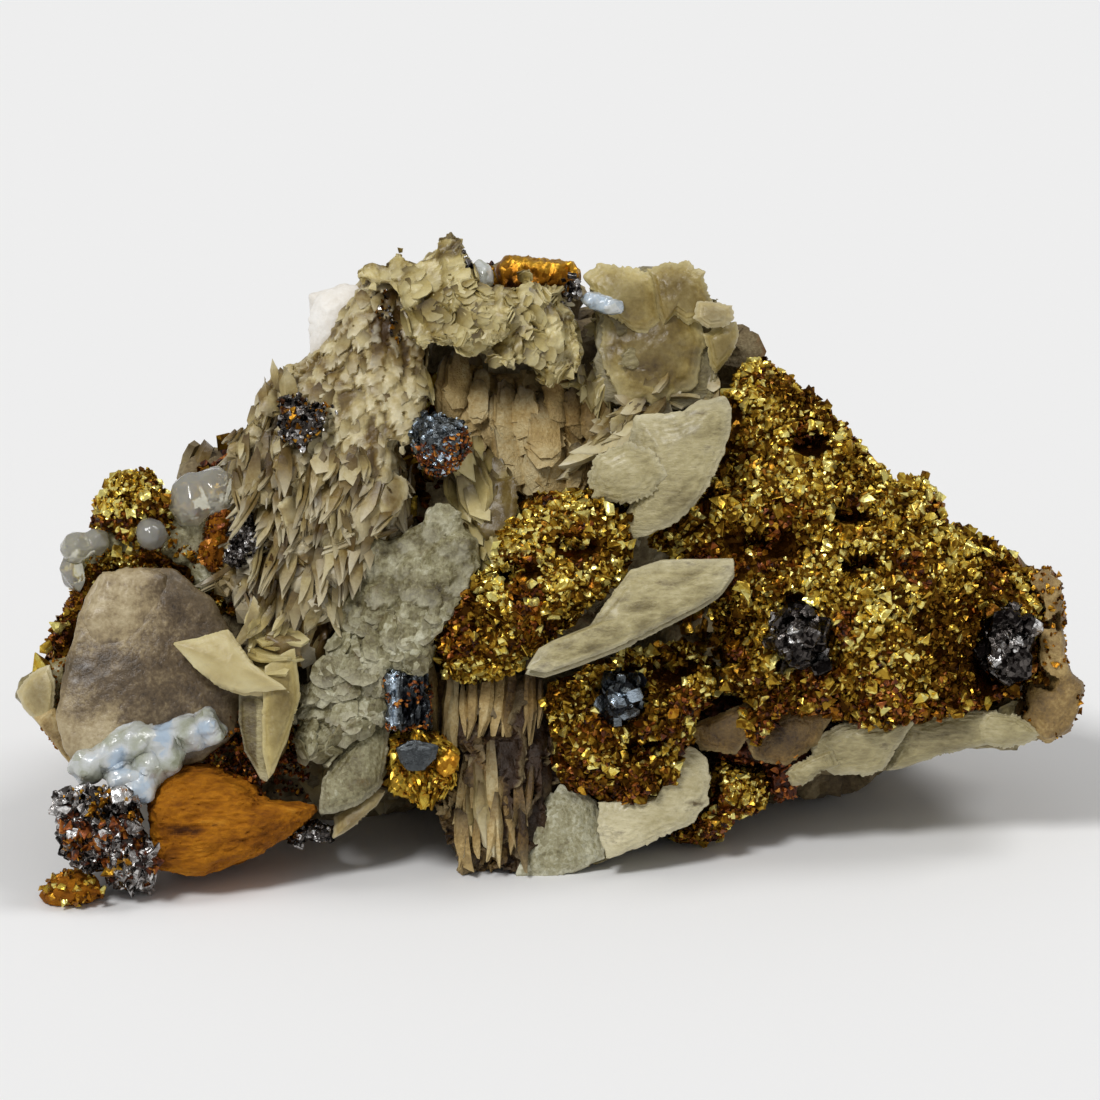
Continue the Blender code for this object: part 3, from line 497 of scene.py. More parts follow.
    def scales(
        self, places, tip, size, finish, tones, lift=22, lean=0.0, forms=LEAVES, stack=1, swing=0.35, gap=0.4,
        slip=0.6
    ):
        """Blades that point along tip over the places, lifted by lift degrees and turned edge-on by lean.

        A stack is several like blades behind one another, gap apart, each set back by up to slip.
        """
        at, out = places
        if not len(at):
            return
        width, length, thick = size
        along = along_surface(out, tip)
        side = np.cross(out, along)
        angle = self.rng.uniform(-swing, swing, (len(at), 1))
        along = along * np.cos(angle) + side * np.sin(angle)
        rise = np.radians(lift + self.rng.uniform(-9, 9, (len(at), 1)))
        normal = unit(out * np.cos(rise) - along * np.sin(rise))
        along = along * np.cos(rise) + out * np.sin(rise)
        lean = np.reshape(np.broadcast_to(lean, len(at)), (-1, 1))
        normal = unit(normal + np.cross(normal, along) * (lean + self.rng.uniform(-0.25, 0.25, (len(at), 1))))
        turns = turns_from(normal, along)
        grade = self.rng.uniform(*SIZE_SPREAD, (len(at), 1))
        for layer in range(stack):
            step = layer - 0.5 * (stack - 1)
            moved = at + normal * step * gap - along * (
                slip * self.rng.uniform(-1, 1, (len(at), 1)) * (stack > 1)
            )
            sizes = grade * np.array((width, length, thick)) * self.rng.uniform(0.85, 1.15, (len(at), 3))
            shade = tones(moved) if callable(tones) else np.full(len(at), tones)
            shade = shade + self.rng.uniform(-0.14, 0.14, len(at))
            self.stamp(forms, moved, turns, sizes, finish, shade, 0.05 + 0.03 * width)

    def shingled(self, ground, layers, flow, size, blunt=0.7):
        """The ground with blades in relief, each point's tone shift, and how near a tip it is.

        flow and size give each blade's way and its (width, length, height) from its place. About this many
        layers of blades overlap. blunt is 0.5 for round tips. The ways out stay those of the smooth ground.
        """
        least = size(ground.points[:: max(1, len(ground.points) // 400)])[:, :2].prod(axis=1).min()
        spacing = math.sqrt(least / layers)
        picked = self.rng.choice(
            len(ground.areas), int(TRIES_PER_CELL * ground.areas.sum() / spacing**2),
            p=ground.areas / ground.areas.sum(),
        )
        at = ground.points[ground.faces[picked]].mean(axis=1)
        first = np.unique(np.floor(at / (1.2 * spacing)).astype(int), axis=0, return_index=True)[1]
        at, faces = at[first], ground.faces[picked][first]
        chosen = self.rng.random(len(at)) < least / size(at)[:, :2].prod(axis=1)
        at, out = at[chosen], unit(ground.outs[faces[chosen]].sum(axis=1))
        count = len(at)
        turn = self.rng.uniform(-0.3, 0.3, (count, 1))
        along = along_surface(out, flow(at))
        along = along * np.cos(turn) + np.cross(out, along) * np.sin(turn)
        side = np.cross(out, along)
        width, length, height = (size(at) * self.rng.uniform(0.65, 1.35, (count, 1))).T
        tilt = self.rng.uniform(-0.3, 0.3, count)
        shade = self.rng.uniform(-0.2, 0.2, count)
        points = ground.points + 0.2 * sway(ground.points, 1.6) + 0.08 * sway(ground.points, 0.6)
        order = np.argsort(points[:, 2])
        heights = points[order, 2]
        # Points that no blade covers start 0.15 darker and at the lowest tip: painted shade in the gaps
        # between blades.
        rise, tone, tip = np.zeros(len(points)), np.full(len(points), -0.15), np.zeros(len(points))
        for number in range(count):
            reach = 0.5 * (width[number] + length[number])
            low, high = np.searchsorted(heights, (at[number, 2] - reach, at[number, 2] + reach))
            close = order[low:high]
            away = points[close] - at[number]
            share = away @ along[number] / length[number] + 0.5
            across = 2 * (away @ side[number]) / width[number]
            inside = np.abs(across) < (1 - np.clip(share, 0, 1) ** 3) ** blunt
            over = (share > 0) & inside & (np.abs(away @ out[number]) < 2)
            level = height[number] * (0.15 + 0.85 * share - 0.2 * across**2 + tilt[number] * across)
            better = over & (level > rise[close])
            close = close[better]
            rise[close], tone[close], tip[close] = level[better], shade[number], share[better]
        shaped = Ground(ground.points + ground.outs * rise[:, None], ground.faces)
        shaped.outs = ground.outs
        return shaped, tone, 0.12 + 0.88 * tip

    def druse(self, places, size, finish, tones, forms=SPHENOIDS, sink=0.1, spread=0.3, facets=0.28):
        """Crystals turned at random over the places, most of them dull and a few bright."""
        at, out = places
        if not len(at):
            return
        grade = size * self.rng.uniform(*SIZE_SPREAD, (len(at), 1))
        moved = at + out * grade * self.rng.uniform(-sink, 0.35, (len(at), 1))
        shade = tones(moved) if callable(tones) else np.full(len(at), tones)
        shade = shade + spread * (2.4 * self.rng.random(len(at)) ** 1.7 - 0.9)
        sizes = grade * self.rng.uniform(0.75, 1.2, (len(at), 3))
        self.stamp(forms, moved, any_turns(self.rng, len(at)), sizes, finish, shade, facets=facets)

    def plate(
        self, outline, depth, slope=(0, 0), thick=1.2, dome=0.4, finish="grey_plate", tones=0.5, jag=0.16,
        steps=(0.9, 0.76, 0.55), step=0.14, wave=0.3, grain=0.07, rounding=17, segments=160, rings=44,
    ):
        """A plate of the outline that the viewer sees, with an uneven rim and growth steps in front."""
        form = bmesh.new()
        bmesh.ops.create_uvsphere(form, u_segments=segments, v_segments=rings, radius=1)
        ball, faces = arrays_of(form)
        corners = np.array(outline, float)
        middle = 0.5 * (corners.min(axis=0) + corners.max(axis=0))
        reach = reach_of(corners - middle, rounding)
        nicks = (
            around(self.rng, 40, jag) + around(self.rng, 110, 0.7 * jag) + around(self.rng, 240, 0.3 * jag)
        )
        turn = (np.arctan2(ball[:, 1], ball[:, 0]) + math.pi) / math.tau * DIRECTIONS
        share = np.hypot(ball[:, 0], ball[:, 1])

        def at_turn(values):
            return np.interp(turn, np.arange(DIRECTIONS + 1), np.append(values, values[0]))

        flat = middle + unit(ball[:, :2]) * (share * at_turn(reach) + share**9 * at_turn(nicks))[:, None]
        place = np.column_stack((flat[:, 0], np.full(len(flat), depth), flat[:, 1]))
        front = ball[:, 2] > 0
        high = np.sign(ball[:, 2]) * np.abs(ball[:, 2]) ** 0.42 * thick / 2
        relief = dome * (1 - share**2)
        wander = 0.16 * drift(place, 2.6, depth + 4) + 0.05 * drift(place, 0.7, depth)
        for rim in steps:
            relief = relief + step * np.clip((rim + wander * (1.3 - rim) - share) / 0.03, 0, 1)
        high = high + front * relief
        high = high + wave * drift(place, 4.5, depth) + front * grain * drift(place, 0.8, 3)
        away = flat - middle
        place[:, 1] += slope[0] * away[:, 0] + slope[1] * away[:, 1] - high
        shade = tones(place) if callable(tones) else tones
        # The tips run from 0.25 in the middle to 0.9 at the rim: painted highlight on the rim and painted
        # shade toward the middle.
        self.add(place, faces, finish, shade, 0.25 + 0.65 * share**3)


# Materials. Patterns are sized in millimetres.


def linear(red, green, blue):
    """A colour from the 0 to 255 scale to the shader's own."""
    return tuple((part / 255) ** 2.2 for part in (red, green, blue)) + (1,)


def mineral(
    name, ramp, rough=0.6, metal=0.0, light=None, dark=None, coarse=(2.5, 0.3), fine=(0.45, 0.22), bump=0.35,
    rough_spread=0.15, stain=None, streaks=(1, 1, 1), facets=None, glow=None, coat=None, **sockets,
):
    """A finish whose colour follows each form's tone and two noises, with a painted highlight at the tips and
    painted shade at the roots.

    facets are tiny crystal faces in the surface: their size, how far their tones part, and how far they tilt.
    The parted tones are partly each face's own tarnish and partly painted sparkle.
    glow is how much light goes in and how far it spreads. coat is a clear coat's weight and roughness.
    """
    made = bpy.data.materials.new(name)
    made.use_nodes = True
    nodes, links = made.node_tree.nodes, made.node_tree.links
    shader = nodes["Principled BSDF"]

    def node(kind, values=(), **settings):
        new = nodes.new("ShaderNode" + kind)
        for key, value in settings.items():
            setattr(new, key, value)
        for key, value in dict(values).items():
            if isinstance(value, bpy.types.NodeSocket):
                links.new(value, new.inputs[key])
            else:
                new.inputs[key].default_value = value
        return new

    def sum_of(a, factor, b):
        return node("Math", {0: a, 1: factor, 2: b}, operation="MULTIPLY_ADD").outputs[0]

    place = node("TexCoord").outputs["Object"]
    scaled = node("Mapping", {"Vector": place, "Scale": [MM_PER_M * part for part in streaks]}).outputs[0]
    tone = node("Attribute", attribute_name="tone").outputs["Fac"]
    tip = node("Attribute", attribute_name="tip").outputs["Fac"]
    large = node("TexNoise", {"Vector": scaled, "Scale": 1 / coarse[0], "Detail": 3.0}).outputs["Fac"]
    small = node(
        "TexNoise", {"Vector": scaled, "Scale": 1 / fine[0], "Detail": 4.0, "Roughness": 0.6}
    ).outputs["Fac"]
    mixed = sum_of(large, 2 * coarse[1], tone)
    mixed = sum_of(small, 2 * fine[1], mixed)
    mixed = node("Math", {0: mixed, 1: coarse[1] + fine[1]}, operation="SUBTRACT").outputs[0]
    # Each tiny face's tone is partly its own tarnish and partly painted sparkle.
    if facets:
        cells = node("TexVoronoi", {"Vector": scaled, "Scale": 1 / facets[0]}).outputs["Color"]
        centred = node("VectorMath", {0: cells, 1: (0.5, 0.5, 0.5)}, operation="SUBTRACT").outputs[0]
        mixed = sum_of(node("SeparateXYZ", {0: centred}).outputs["X"], 2 * facets[1], mixed)
    colours = node("ValToRGB", {"Fac": mixed})
    marks = colours.color_ramp.elements
    while len(marks) < len(ramp):
        marks.new(0.5)
    for mark, (position, colour) in zip(marks, ramp):
        mark.position, mark.color = position, linear(*colour)
    colour = colours.outputs["Color"]

    def toward(colour, goal, factor):
        mix = node("Mix", data_type="RGBA")
        links.new(factor, mix.inputs["Factor"])
        links.new(colour, mix.inputs["A"])
        mix.inputs["B"].default_value = linear(*goal)
        return mix.outputs["Result"]

    if stain:
        goal, size, least = stain
        patches = node(
            "TexNoise", {"Vector": scaled, "Scale": 1 / size, "Detail": 5.0, "Roughness": 0.65}
        ).outputs["Fac"]
        spread = node("MapRange", {"Value": patches, "From Min": least, "From Max": least + 0.12}).outputs[0]
        colour = toward(colour, goal, spread)
    # Painted shade: the roots, which lie under the blades above them, are mixed toward the dark colour.
    if dark:
        goal, amount = dark
        root = node("MapRange", {"Value": tip, "From Min": 0.5, "From Max": 0.0, "To Max": amount}).outputs[0]
        colour = toward(colour, goal, root)
    # Painted highlight: the tips and plate rims are mixed toward the light colour.
    if light:
        goal, amount = light
        edge = node(
            "MapRange", {"Value": tip, "From Min": 0.55, "From Max": 1.0, "To Max": amount}
        ).outputs[0]
        colour = toward(colour, goal, edge)
    links.new(colour, shader.inputs["Base Color"])
    uneven = node(
        "MapRange", {"Value": small, "To Min": rough - rough_spread, "To Max": rough + rough_spread}
    )
    links.new(uneven.outputs[0], shader.inputs["Roughness"])
    relief = node("Bump", {"Height": small, "Strength": bump, "Distance": BUMP_DEPTH})
    normal = relief.outputs[0]
    if facets:
        tilt = node("VectorMath", {0: centred, "Scale": 2 * facets[2]}, operation="SCALE").outputs[0]
        tilted = node("VectorMath", {0: normal, 1: tilt}, operation="ADD").outputs[0]
        normal = node("VectorMath", {0: tilted}, operation="NORMALIZE").outputs[0]
    links.new(normal, shader.inputs["Normal"])
    shader.inputs["Metallic"].default_value = metal
    if glow:
        sockets.update(Subsurface_Weight=glow[0], Subsurface_Radius=glow[1], Subsurface_Scale=1.0)
    if coat:
        sockets.update(Coat_Weight=coat[0], Coat_Roughness=coat[1])
    for key, value in sockets.items():
        shader.inputs[key.replace("_", " ")].default_value = value
    return made


def make_finishes():
    # light and dark give each finish its painted highlight at the tips and its painted shade at the roots.
    mineral(
        "tan_scale",
        ((0.0, (76, 56, 22)), (0.3, (132, 110, 62)), (0.6, (182, 165, 116)), (1.0, (220, 208, 168))),
        rough=0.42, light=((226, 218, 188), 0.55), dark=((62, 42, 14), 0.85),
        stain=((112, 98, 80), 6.0, 0.64), coat=(0.15, 0.3), glow=(0.12, (0.0012, 0.001, 0.0006)),
    )
    mineral(
        "olive_scale",
        ((0.0, (80, 62, 24)), (0.3, (138, 118, 62)), (0.65, (188, 170, 110)), (1.0, (220, 206, 156))),
        rough=0.38, light=((222, 212, 166), 0.5), dark=((56, 38, 8), 0.9), coat=(0.2, 0.3),
        glow=(0.12, (0.0012, 0.001, 0.0005)),
    )
    mineral(
        "brown_scale",
        ((0.0, (60, 40, 18)), (0.4, (136, 108, 60)), (0.7, (182, 154, 98)), (1.0, (216, 198, 150))),
        rough=0.5, light=((206, 186, 136), 0.4), dark=((34, 22, 8), 0.85), coarse=(2.2, 0.4),
        fine=(0.35, 0.34), bump=0.8,
    )
    mineral(
        "grey_plate",
        ((0.0, (78, 64, 36)), (0.3, (122, 110, 72)), (0.6, (170, 158, 114)), (1.0, (214, 204, 166))),
        rough=0.36, light=((220, 214, 186), 0.4), coarse=(3.0, 0.3), fine=(0.5, 0.32), bump=0.8,
        streaks=(0.6, 1, 1.5), stain=((98, 84, 54), 3.0, 0.6), coat=(0.25, 0.25),
        glow=(0.1, (0.001, 0.001, 0.0007)),
    )
    mineral(
        "grainy",
        ((0.0, (62, 52, 28)), (0.35, (112, 104, 72)), (0.65, (156, 150, 116)), (1.0, (214, 212, 186))),
        rough=0.36, light=((216, 212, 188), 0.35), coarse=(2.6, 0.3), fine=(0.35, 0.36), bump=0.7,
        stain=((100, 82, 46), 3.0, 0.6), facets=(0.45, 0.12, 0.22),
    )
    mineral(
        "lens_yellow",
        ((0.0, (140, 120, 72)), (0.5, (186, 170, 120)), (1.0, (206, 194, 148))),
        rough=0.42, light=((226, 216, 172), 0.4), coarse=(4.0, 0.15), fine=(0.6, 0.15), bump=0.25,
        glow=(0.15, (0.0012, 0.001, 0.0005)),
    )
    mineral(
        "smoky",
        ((0.0, (52, 40, 26)), (0.3, (98, 82, 60)), (0.6, (156, 138, 104)), (1.0, (200, 184, 148))),
        rough=0.34, coarse=(2.0, 0.3), fine=(0.4, 0.36), bump=0.45, light=((150, 132, 96), 0.3),
        coat=(0.25, 0.25),
    )
    mineral(
        "white_stone",
        ((0.0, (196, 184, 164)), (0.5, (232, 226, 216)), (1.0, (248, 246, 242))),
        rough=0.45, bump=0.3, glow=(0.2, (0.001, 0.001, 0.001)),
    )
    mineral(
        "milky_crust",
        ((0.0, (150, 154, 120)), (0.35, (206, 210, 192)), (0.7, (240, 244, 244)), (1.0, (206, 226, 246))),
        rough=0.16, rough_spread=0.06, coarse=(2.0, 0.3), fine=(0.5, 0.15), bump=0.3, IOR=1.53,
        facets=(1.3, 0.14, 0.24), Transmission_Weight=0.35, coat=(0.6, 0.08),
        glow=(0.3, (0.001, 0.001, 0.001)),
    )
    mineral(
        "rust",
        ((0.0, (66, 36, 4)), (0.35, (128, 76, 10)), (0.65, (168, 106, 20)), (1.0, (200, 140, 50))),
        rough=0.8, coarse=(2.2, 0.3), fine=(0.35, 0.3), bump=0.7, streaks=(0.5, 1, 1.2),
        stain=((84, 48, 18), 2.2, 0.63), facets=(1.4, 0.08, 0.22), Specular_IOR_Level=0.2,
    )
    mineral(
        "rust_crystal",
        ((0.0, (30, 13, 4)), (0.35, (88, 42, 12)), (0.7, (146, 78, 24)), (1.0, (200, 132, 54))),
        rough=0.4, metal=0.5, bump=0.3, facets=(0.35, 0.2, 0.3),
    )
    mineral(
        "fresh_gold",
        (
            (0.0, (60, 36, 10)), (0.25, (120, 84, 28)), (0.5, (180, 144, 54)), (0.75, (224, 194, 84)),
            (1.0, (248, 234, 142)),
        ),
        rough=0.3, rough_spread=0.1, metal=0.8, coarse=(1.6, 0.1), fine=(0.3, 0.08), bump=0.12,
        stain=((92, 42, 10), 3.5, 0.58), facets=(0.5, 0.16, 0.3), Specular_Tint=linear(230, 196, 124),
    )
    mineral(
        "old_gold",
        ((0.0, (50, 27, 5)), (0.5, (158, 102, 24)), (1.0, (228, 176, 62))),
        rough=0.36, metal=0.85, coarse=(1.6, 0.2), fine=(0.3, 0.15), bump=0.25, facets=(0.5, 0.2, 0.3),
    )
    mineral(
        "lead_dark",
        ((0.0, (20, 16, 15)), (0.5, (104, 98, 94)), (1.0, (228, 226, 224))),
        rough=0.24, rough_spread=0.12, metal=0.95, coarse=(1.5, 0.2), fine=(0.4, 0.15), bump=0.4,
        facets=(0.45, 0.25, 0.35),
    )
    mineral(
        "blue_steel",
        ((0.0, (20, 20, 24)), (0.4, (92, 96, 98)), (0.7, (140, 150, 158)), (1.0, (206, 224, 242))),
        rough=0.2, rough_spread=0.1, metal=0.95, coarse=(1.5, 0.2), fine=(0.3, 0.2), bump=0.4,
    )
    mineral(
        "grey_rock",
        ((0.0, (70, 56, 34)), (0.4, (120, 104, 74)), (0.7, (154, 140, 106)), (1.0, (184, 172, 142))),
        rough=0.75, dark=((52, 38, 20), 0.7), coarse=(4.0, 0.4), fine=(0.5, 0.4), bump=0.9,
        stain=((122, 74, 28), 7.0, 0.6),
    )
    clear = mineral(
        "clear_glass",
        ((0.0, (226, 224, 204)), (1.0, (248, 246, 236))),
        rough=0.06, rough_spread=0.03, coarse=(3, 0.3), bump=0.06, IOR=1.5, Transmission_Weight=0.75,
        glow=(0.4, (0.002, 0.002, 0.0015)),
    )
    nodes, links = clear.node_tree.nodes, clear.node_tree.links
    inside = nodes.new("ShaderNodeVolumeAbsorption")
    inside.inputs["Color"].default_value = linear(222, 218, 190)
    inside.inputs["Density"].default_value = 80
    links.new(inside.outputs[0], nodes["Material Output"].inputs["Volume"])


# The chalcopyrite druses.


def gold_tones(at):
    """Bright and dark patches of gold, brighter on the upper slopes."""
    base = 0.47 + 0.6 * drift(at, 7.0, 1.7) + 0.35 * drift(at, 2.6, 5.1)
    return base + 0.14 * np.clip((at[:, 2] - 26) / 14, -1, 1)


def hollow_at(points, hollows):
    """How deep in a hollow each point is, from 0 to 1."""
    return np.minimum(sum((bell(points, *hollow) for hollow in hollows), np.zeros(len(points))), 1)


def gold_ground(piece, swell=0.0, hollows=()):
    """The druse's own surface, pushed in at each hollow, which is (x, z, half width, half height)."""
    ground = piece.ground(0.5, swell, ((3.4, 1.0), (1.1, 0.5)))
    inside = hollow_at(ground.points, hollows)
    ground.points[:, 1] += 3.2 * inside * (ground.outs[:, 1] < 0)
    ground = Ground(ground.points, ground.faces)
    # Painted shade: the ground is laid darker in the hollows.
    piece.lay(ground, "fresh_gold", 0.1 + 0.1 * drift(ground.points, 2.0) - 0.4 * inside, 1.0)
    return ground


def gold_druse(piece, hollows=(), painted_hollow_shade=0.0, shift=0.0, size=1.0, rusty=24.0):
    """A druse of three sizes of crystal, mostly rusty below the height rusty. dim paints shade into the
    hollows by darkening the crystals there.
    """
    ground = gold_ground(piece, hollows=hollows)

    def tones(at):
        # Painted shade: crystals in the hollows are darker by dim.
        return gold_tones(at) + shift - painted_hollow_shade * hollow_at(at, hollows)

    kinds = ((0.58, 6, 0.5, "rust_crystal", 0.45, 0.5, 0.4), (1.05, 9, 0.75, "old_gold", 0.4, 0.82, 0.42))
    for spacing, least, rust_size, rust_finish, rust_tone, gold_size, spread in kinds:
        at, out = piece.sow(ground, spacing * size, to_sides)
        rust = drift(at, 4.0, 9.0) * 9 + rusty - at[:, 2] + piece.rng.uniform(-4, 4, len(at)) > least
        rust |= drift(at, 5.0, 14.0) + piece.rng.uniform(-0.1, 0.1, len(at)) < -0.3
        piece.druse((at[rust], out[rust]), rust_size * size, rust_finish, rust_tone)
        piece.druse((at[~rust], out[~rust]), gold_size * size, "fresh_gold", tones, spread=spread)
    piece.druse(piece.sow(ground, 2.2 * size, to_front), 1.15 * size, "fresh_gold", tones, spread=0.35)


def chalcopyrite_main(piece):
    hollows = (
        (21.5, 33.6, 3.4, 1.5), (26, 43.6, 1.8, 1), (30, 36.5, 1.5, 0.8), (44, 21, 1.6, 2.4),
        (31, 31.5, 2, 0.7),
    )
    gold_druse(piece, hollows, 0.7)
    large = (
        (19.4, 0.3, 15.6), (16.6, 0.6, 23.8), (18.8, 0.2, 21.2), (17.6, 0.4, 19.4), (20.6, 0.3, 23.0),
        (42, 1, 25),
    )
    piece.druse(facing(large), 1.9, "fresh_gold", 0.35, sink=0.3)


def chalcopyrite_middle(piece):
    gold_druse(piece, ((2.2, 33.4, 2, 0.9), (-3.6, 30.8, 2, 0.8)), shift=0.12, rusty=14)


def chalcopyrite_lower(piece):
    gold_druse(piece, ((12, 21.4, 2.4, 1.6), (9.5, 13.2, 2, 0.9)), shift=0.05, rusty=16)


def chalcopyrite_bottom(piece):
    gold_druse(piece, shift=0.3, size=0.85, rusty=14)


def chalcopyrite_left(piece):
    gold_druse(piece, shift=0.15, size=0.8, rusty=40.5)


def chalcopyrite_band(piece):
    gold_druse(piece, size=0.62, rusty=33)
    places = (
        (-43.6, 3.2, 34.2), (-41, 3.4, 33.6), (-38.4, 3.0, 34), (-36, 2.8, 33), (-35.4, 2.6, 35.6),
        (-46, 3.4, 32.4), (-33.6, 2.4, 30.6),
    )
    filler = fused_beads(places, [(2.4, 1.6, 1.9)] * len(places), 0.4, ((1.6, 0.6), (0.6, 0.2)))
    piece.lay(filler, "grainy", patchy(0.5, 0.3, 2.0, 0), 0.5)
    crumbs = piece.sow(filler, 0.6, lambda at, out: (out[:, 1] < 0.5) & (drift(at, 2.2, 4.0) > 0.02))
    piece.druse(crumbs, 0.45, "old_gold", 0.5)
    bright = ((-50.4, 23.2), (-49.2, 25.2), (-50.6, 21.4), (-43.2, 32.8), (-42.2, 33))
    piece.druse(facing([(x, 0.2, z) for x, z in bright]), 1.3, "fresh_gold", 0.85)


def gold_tip(piece):
    ground = piece.skin("rust", patchy(0.45, 0.3, 1.4, 0), 0.5, 0.3, 0, ((1.6, 0.4), (0.6, 0.15)))
    piece.druse(piece.sow(ground, 0.9, to_sides), 0.6, "old_gold", 0.55)
    piece.druse(piece.sow(ground, 1.7, to_front), 0.8, "fresh_gold", 0.8)


def gold_plates(piece):
    ground = gold_ground(piece, -0.3)
    piece.druse(piece.sow(ground, 0.6, to_sides), 0.42, "old_gold", 0.5)
    flakes = piece.sow(ground, 1.1, to_front)
    piece.scales(flakes, (0.3, 0, -1), (1.1, 2.0, 0.22), "fresh_gold", 0.55, 18, 0.8, LEAVES, 2)
    piece.plate(
        ((-15.4, 13.3), (-13.8, 14.2), (-11, 13.6), (-11.4, 12.2), (-12.6, 11), (-14.2, 11), (-15, 12)), -5.4,
        finish="blue_steel", thick=0.9, dome=0.1, steps=(0.8,), tones=0.32, jag=0.05, segments=64, rings=24,
    )
    piece.plate(
        ((-11.2, 12.4), (-10, 13.3), (-8.9, 12.4), (-9.5, 10.8), (-10.6, 10.3), (-11.4, 11.2)), -4.6,
        finish="old_gold", thick=0.9, dome=0.1, steps=(), tones=0.75, jag=0.03, segments=48, rings=20,
    )


# Scaly blades.


def scaly_flank(piece):
    smooth = piece.ground(0.3, -0.35, ((3.0, 0.7), (0.8, 0.15)))

    def low_down(at):
        """0 on the flaky upper part, 1 where the blades hang."""
        return np.clip((36 - at[:, 2] - 0.35 * at[:, 0] - 3.5 * drift(at, 5.0)) / 11, 0, 1)

    def flow(at):
        return downward(at, -0.3 + 0.45 * drift(at, 9.0, 2.0))

    def size(at):
        low = low_down(at)[:, None]
        return (1 - low) * np.array((1.2, 2.6, 0.5)) + low * np.array((1.3, 5.4, 1.3))

    ground, tone, tip = piece.shingled(smooth, 2.4, flow, size)
    low = low_down(ground.points)
    grey = bell(ground.points, -15.4, 56.5, 2.2, 4)
    # Painted shade: dark streaks of noise stand for the shaded crevices between the blades.
    painted_crease_shade = np.clip(2 * drift(ground.points * (1.3, 1, 0.5), 2.4, 6.0) - 0.3, 0, 1)
    shade = 0.54 + 0.22 * drift(ground.points, 3.0) + tone - 0.3 * low - 0.3 * painted_crease_shade - 0.4 * grey
    piece.lay(ground, "tan_scale", shade, tip)

    def on_flank(at, out):
        return to_sides(at, out) & ~((at[:, 2] > 50) & (at[:, 0] < -21.4))

    at, out = piece.sow(smooth, 1.2, on_flank)
    low, chance = low_down(at), piece.rng.random(len(at))
    bundle = drift(at * (1.4, 1, 0.4), 3.0, 5.0)
    lifted = at + out * (0.5 + 0.7 * low[:, None])

    def blades(picked, size, tones, *settings):
        piece.scales((lifted[picked], out[picked]), flow(at[picked]), size, "tan_scale", tones, *settings)

    picked = (low > 0.3) & (chance < 0.8)
    hanging = (13, 1.8 * bundle[picked], POINTS + LEAVES, 2, 0.1, 0.42, 0.9)
    blades(picked, (1.25, 5.0, 0.2), patchy(0.34, 0.4, 2.0), *hanging)
    picked = (low <= 0.3) & (low > 0.02) & (chance < 0.4)
    blades(picked, (1.7, 3.0, 0.2), patchy(0.42), 10, 0.8 * bundle[picked], LEAVES, 2, 0.3)
    picked = (low <= 0.02) & (chance < 0.14)
    blades(picked, (1.5, 2.2, 0.16), patchy(0.46), 4, 0.2, LEAVES)
    crown = [(x, front_at(ground, x, 47.5) + 0.4, z) for x, z in ((-27.5, 50.4), (-26.4, 49), (-28.4, 48.6))]
    piece.scales(facing(crown), (-0.1, 0, 1), (1.8, 4.4, 0.6), "tan_scale", 0.4, 2, 0.1, POINTS, 1, 0.1)
    for x, z, size in ((-25.6, 36.8, 1.5), (-16, 38.6, 1.9)):
        wide = [size * (1 + 0.2 * math.sin(3 * a)) * math.cos(a) for a in OVAL_TURNS]
        outline = [(x + right, z + 1.2 * size * math.sin(a)) for right, a in zip(wide, OVAL_TURNS)]
        piece.plate(
            outline, front_at(ground, x, z) + 0.2, (0.3, 0.3), 0.5, 0.4, "tan_scale", patchy(0.46, 0.4, 1.2),
            0.12, (0.7,), 0.1, 0.7, **COARSE,
        )
    for x, z, wide in (
        (-16, 57.5, 1.7), (-17.2, 59.3, 1.3), (-14.6, 55, 1.5), (-25, 46, 1.9), (-22, 46.9, 0.8)
    ):
        dark = piece.sow(ground, 0.5, lambda at, out: near(at, x, z, wide) & (out[:, 1] < 0.2))
        piece.druse(dark, 0.36, "lead_dark", 0.35, BLOCKS)
        piece.druse((dark[0][::3], dark[1][::3]), 0.4, "old_gold", 0.3)


